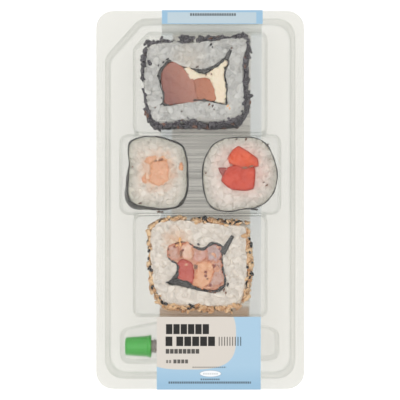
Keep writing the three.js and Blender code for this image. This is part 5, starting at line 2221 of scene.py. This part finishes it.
def pepper_maki() -> Maki:
    """The right small roll, with red pepper."""
    pieces = {
        "pepper_maki_pepper_upper": (
            red_pepper("pepper_bright", (0.77, 0.12, 0.03), (0.62, 0.06, 0.014)),
            [
                (-0.8, 11.3), (2.6, 9.3), (6.8, 6.3), (7.3, 3.4), (5.2, 3.4), (3.1, 2.7), (0, 3.1),
                (-2.5, 3.9), (-5.3, 5.5), (-4.6, 7.2), (-2.5, 10.4),
            ],
        ),
        "pepper_maki_pepper_lower": (
            red_pepper("pepper_red", (0.67, 0.072, 0.026), (0.5, 0.038, 0.018)),
            [
                (-4.9, 2.5), (-2.1, 3.4), (2.3, 2.4), (5.3, 3.0), (5.9, 1.4), (5.7, -2.6), (5.3, -5.7),
                (2.6, -6.5), (-1.2, -6.3), (-4.1, -5.8), (-7.6, -2.6), (-6.4, 0.9),
            ],
        ),
        "pepper_maki_pepper_scrap": (
            red_pepper("pepper_dark", (0.42, 0.15, 0.13), (0.3, 0.08, 0.07)),
            [(-8.9, 2.3), (-5.9, 2.4), (-6.5, 1.1), (-7.1, -0.5), (-7.9, 0.5)],
        ),
    }
    body = [
        (-11.3, 12.5), (-6.4, 15), (-0.2, 15.6), (6.4, 15.2), (10.9, 12.7), (14.1, 7), (15.6, 0.8),
        (15, -5.3), (12.1, -10.7), (6.8, -14.1), (1, -14.8), (-4.7, -15.8), (-11.7, -14.1), (-14.6, -9.4),
        (-15.8, -2.5), (-15.2, 5.7),
    ]
    face = [tuple(point) for point in grown(smooth_loop(body, 24), -0.6)]
    return Maki(
        "pepper_maki",
        (16.5, 10.6),
        body=body,
        face=face,
        heart=[
            (-0.9, 11.4), (3.5, 9.2), (7.6, 6.0), (6.8, 3.0), (6.0, -1.2), (5.2, -6.2), (3.4, -7.0),
            (-1.2, -6.6), (-6.4, -4.8), (-7.6, -3.2), (-6.4, 0.4), (-4.7, 3.4), (-4.9, 6.6), (-3.6, 9.4),
        ],
        crumbs=[
            (10.8, -4.6, 1.3, 40, 0.8), (9.6, -3.4, 0.9, 20, 0.7), (-14.2, 0.4, 1.0, 60, 0.6),
            (2.4, 14.3, 1.4, 60, 0.6), (-1.6, 14.3, 1.0, 20, 0.4), (11.2, 12.0, 1.4, 50, 0.1),
            (1.8, 2.6, 2.4, 5, 0.9), (4.4, 3.2, 1.8, 20, 0.9),
        ],
        fillings=[
            Filling(
                node_name, "pepper", finish, outline, rise=0.15, edge=0.35, relief=0.25, grow=0.4,
                angular=True,
            )
            for node_name, (finish, outline) in pieces.items()
        ],
        rice=Rice(
            "rice_right_maki", (0.941, 0.802, 0.703), (0.68, 0.568, 0.496), (0.84, 0.46, 0.38),
            (0.0175, 0.0125, 0.0), 6.0, 13.0, 0.65, 0.7,
        ),
        seed=53,
    )


# ---- The studio ----


@dataclass
class Studio:
    """Camera, white floor and soft lights.

    Attributes:
        distance: Height of the camera over the flange, in millimetres.
        view_width: Width of the view at the flange.
        aim: Point of the flange's level that the camera looks at.
        spread: Half the width of the floor.
        sky: Brightness of the grey surroundings.
        key: Power of the large soft lamp.
    """

    distance: float = 1000.0
    view_width: float = 164.0
    aim: tuple[float, float] = (-0.08, -0.04)
    spread: float = 3000.0
    sky: float = 0.8
    key: float = 6.5

    def build(self) -> None:
        """Sets up the view, the floor and the lights."""
        self.camera()
        self.floor()
        self.lights()
        bpy.context.scene.view_settings.view_transform = "Standard"
        light_paths = bpy.context.scene.cycles
        light_paths.transparent_max_bounces = 32
        light_paths.transmission_bounces = light_paths.max_bounces = 24

    def camera(self) -> None:
        """A long lens looking straight down, level with the pack's sides."""
        lens = bpy.data.cameras.new("camera")
        lens.sensor_width = 36.0
        lens.lens = lens.sensor_width * self.distance / self.view_width
        lens.clip_end = 10.0
        camera = bpy.data.objects.new("camera", lens)
        camera.location = (self.aim[0] * MM, self.aim[1] * MM, (LEVELS.flange + self.distance) * MM)
        bpy.context.scene.collection.objects.link(camera)
        bpy.context.scene.camera = camera

    def floor(self) -> None:
        """A wide white floor, clear from below, that glows a little and stays white in the pack's shadow."""
        square = self.spread * np.array([(-1, -1), (1, -1), (1, 1), (-1, 1)])
        floor = written("floor", Shape(at_height(square, 0.0), [np.array([[0, 1, 2, 3]])]))
        values = {
            "Base Color": (0.3, 0.3, 0.3, 1.0),
            "Roughness": 0.9,
            "Emission Color": (1.0, 1.0, 1.0, 1.0),
            "Emission Strength": 0.86,
        }
        material, tree, shader = principled("floor_white", values)
        behind = node(tree, "NewGeometry").outputs["Backfacing"]
        through(tree, behind, shader, node(tree, "BsdfTransparent"))
        floor.data.materials.append(material)

    def lights(self) -> None:
        """Even grey surroundings, and one large soft lamp high over the pack, a little to the upper left."""
        world = bpy.data.worlds.new("surroundings")
        world.use_nodes = True
        fed(world.node_tree.nodes["Background"], {"Color": (1.0, 1.0, 1.0, 1.0), "Strength": self.sky})
        bpy.context.scene.world = world
        lamp = bpy.data.lights.new("key_lamp", "AREA")
        lamp.size = 1.1
        lamp.energy = self.key
        key = bpy.data.objects.new("key_lamp", lamp)
        key.location = (-0.12, 0.06, 1.3)
        key.rotation_euler = Vector(key.location).to_track_quat("Z", "Y").to_euler()
        bpy.context.scene.collection.objects.link(key)


def main() -> None:
    """Loads the frame, builds the pack from the tray up, and sets the studio round it."""
    logging.basicConfig(level=logging.INFO, format="%(name)s: %(message)s")
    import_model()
    tray = Tray()
    tray.build()
    LidFilm(tray).build()
    Label().build()
    SauceBottle().build()
    for roll in (salmon_roll(), prawn_roll(), salmon_maki(), pepper_maki()):
        pieces = roll.build()
        LOG.info("%s: %d pieces", roll.name, len(pieces))
    fallen = [
        (-17.6, -5.0, 1.8, 5, 1.0), (-16.2, -5.1, 1.5, 0, 0.8), (22.2, -3.9, 1.9, 5, 0),
        (23.6, -4.1, 1.7, 0, 0.1),
    ]
    scraps("tray", fallen, (0.0, 0.0), LEVELS.food)
    Studio().build()
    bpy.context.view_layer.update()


if __name__ == "__main__":
    main()
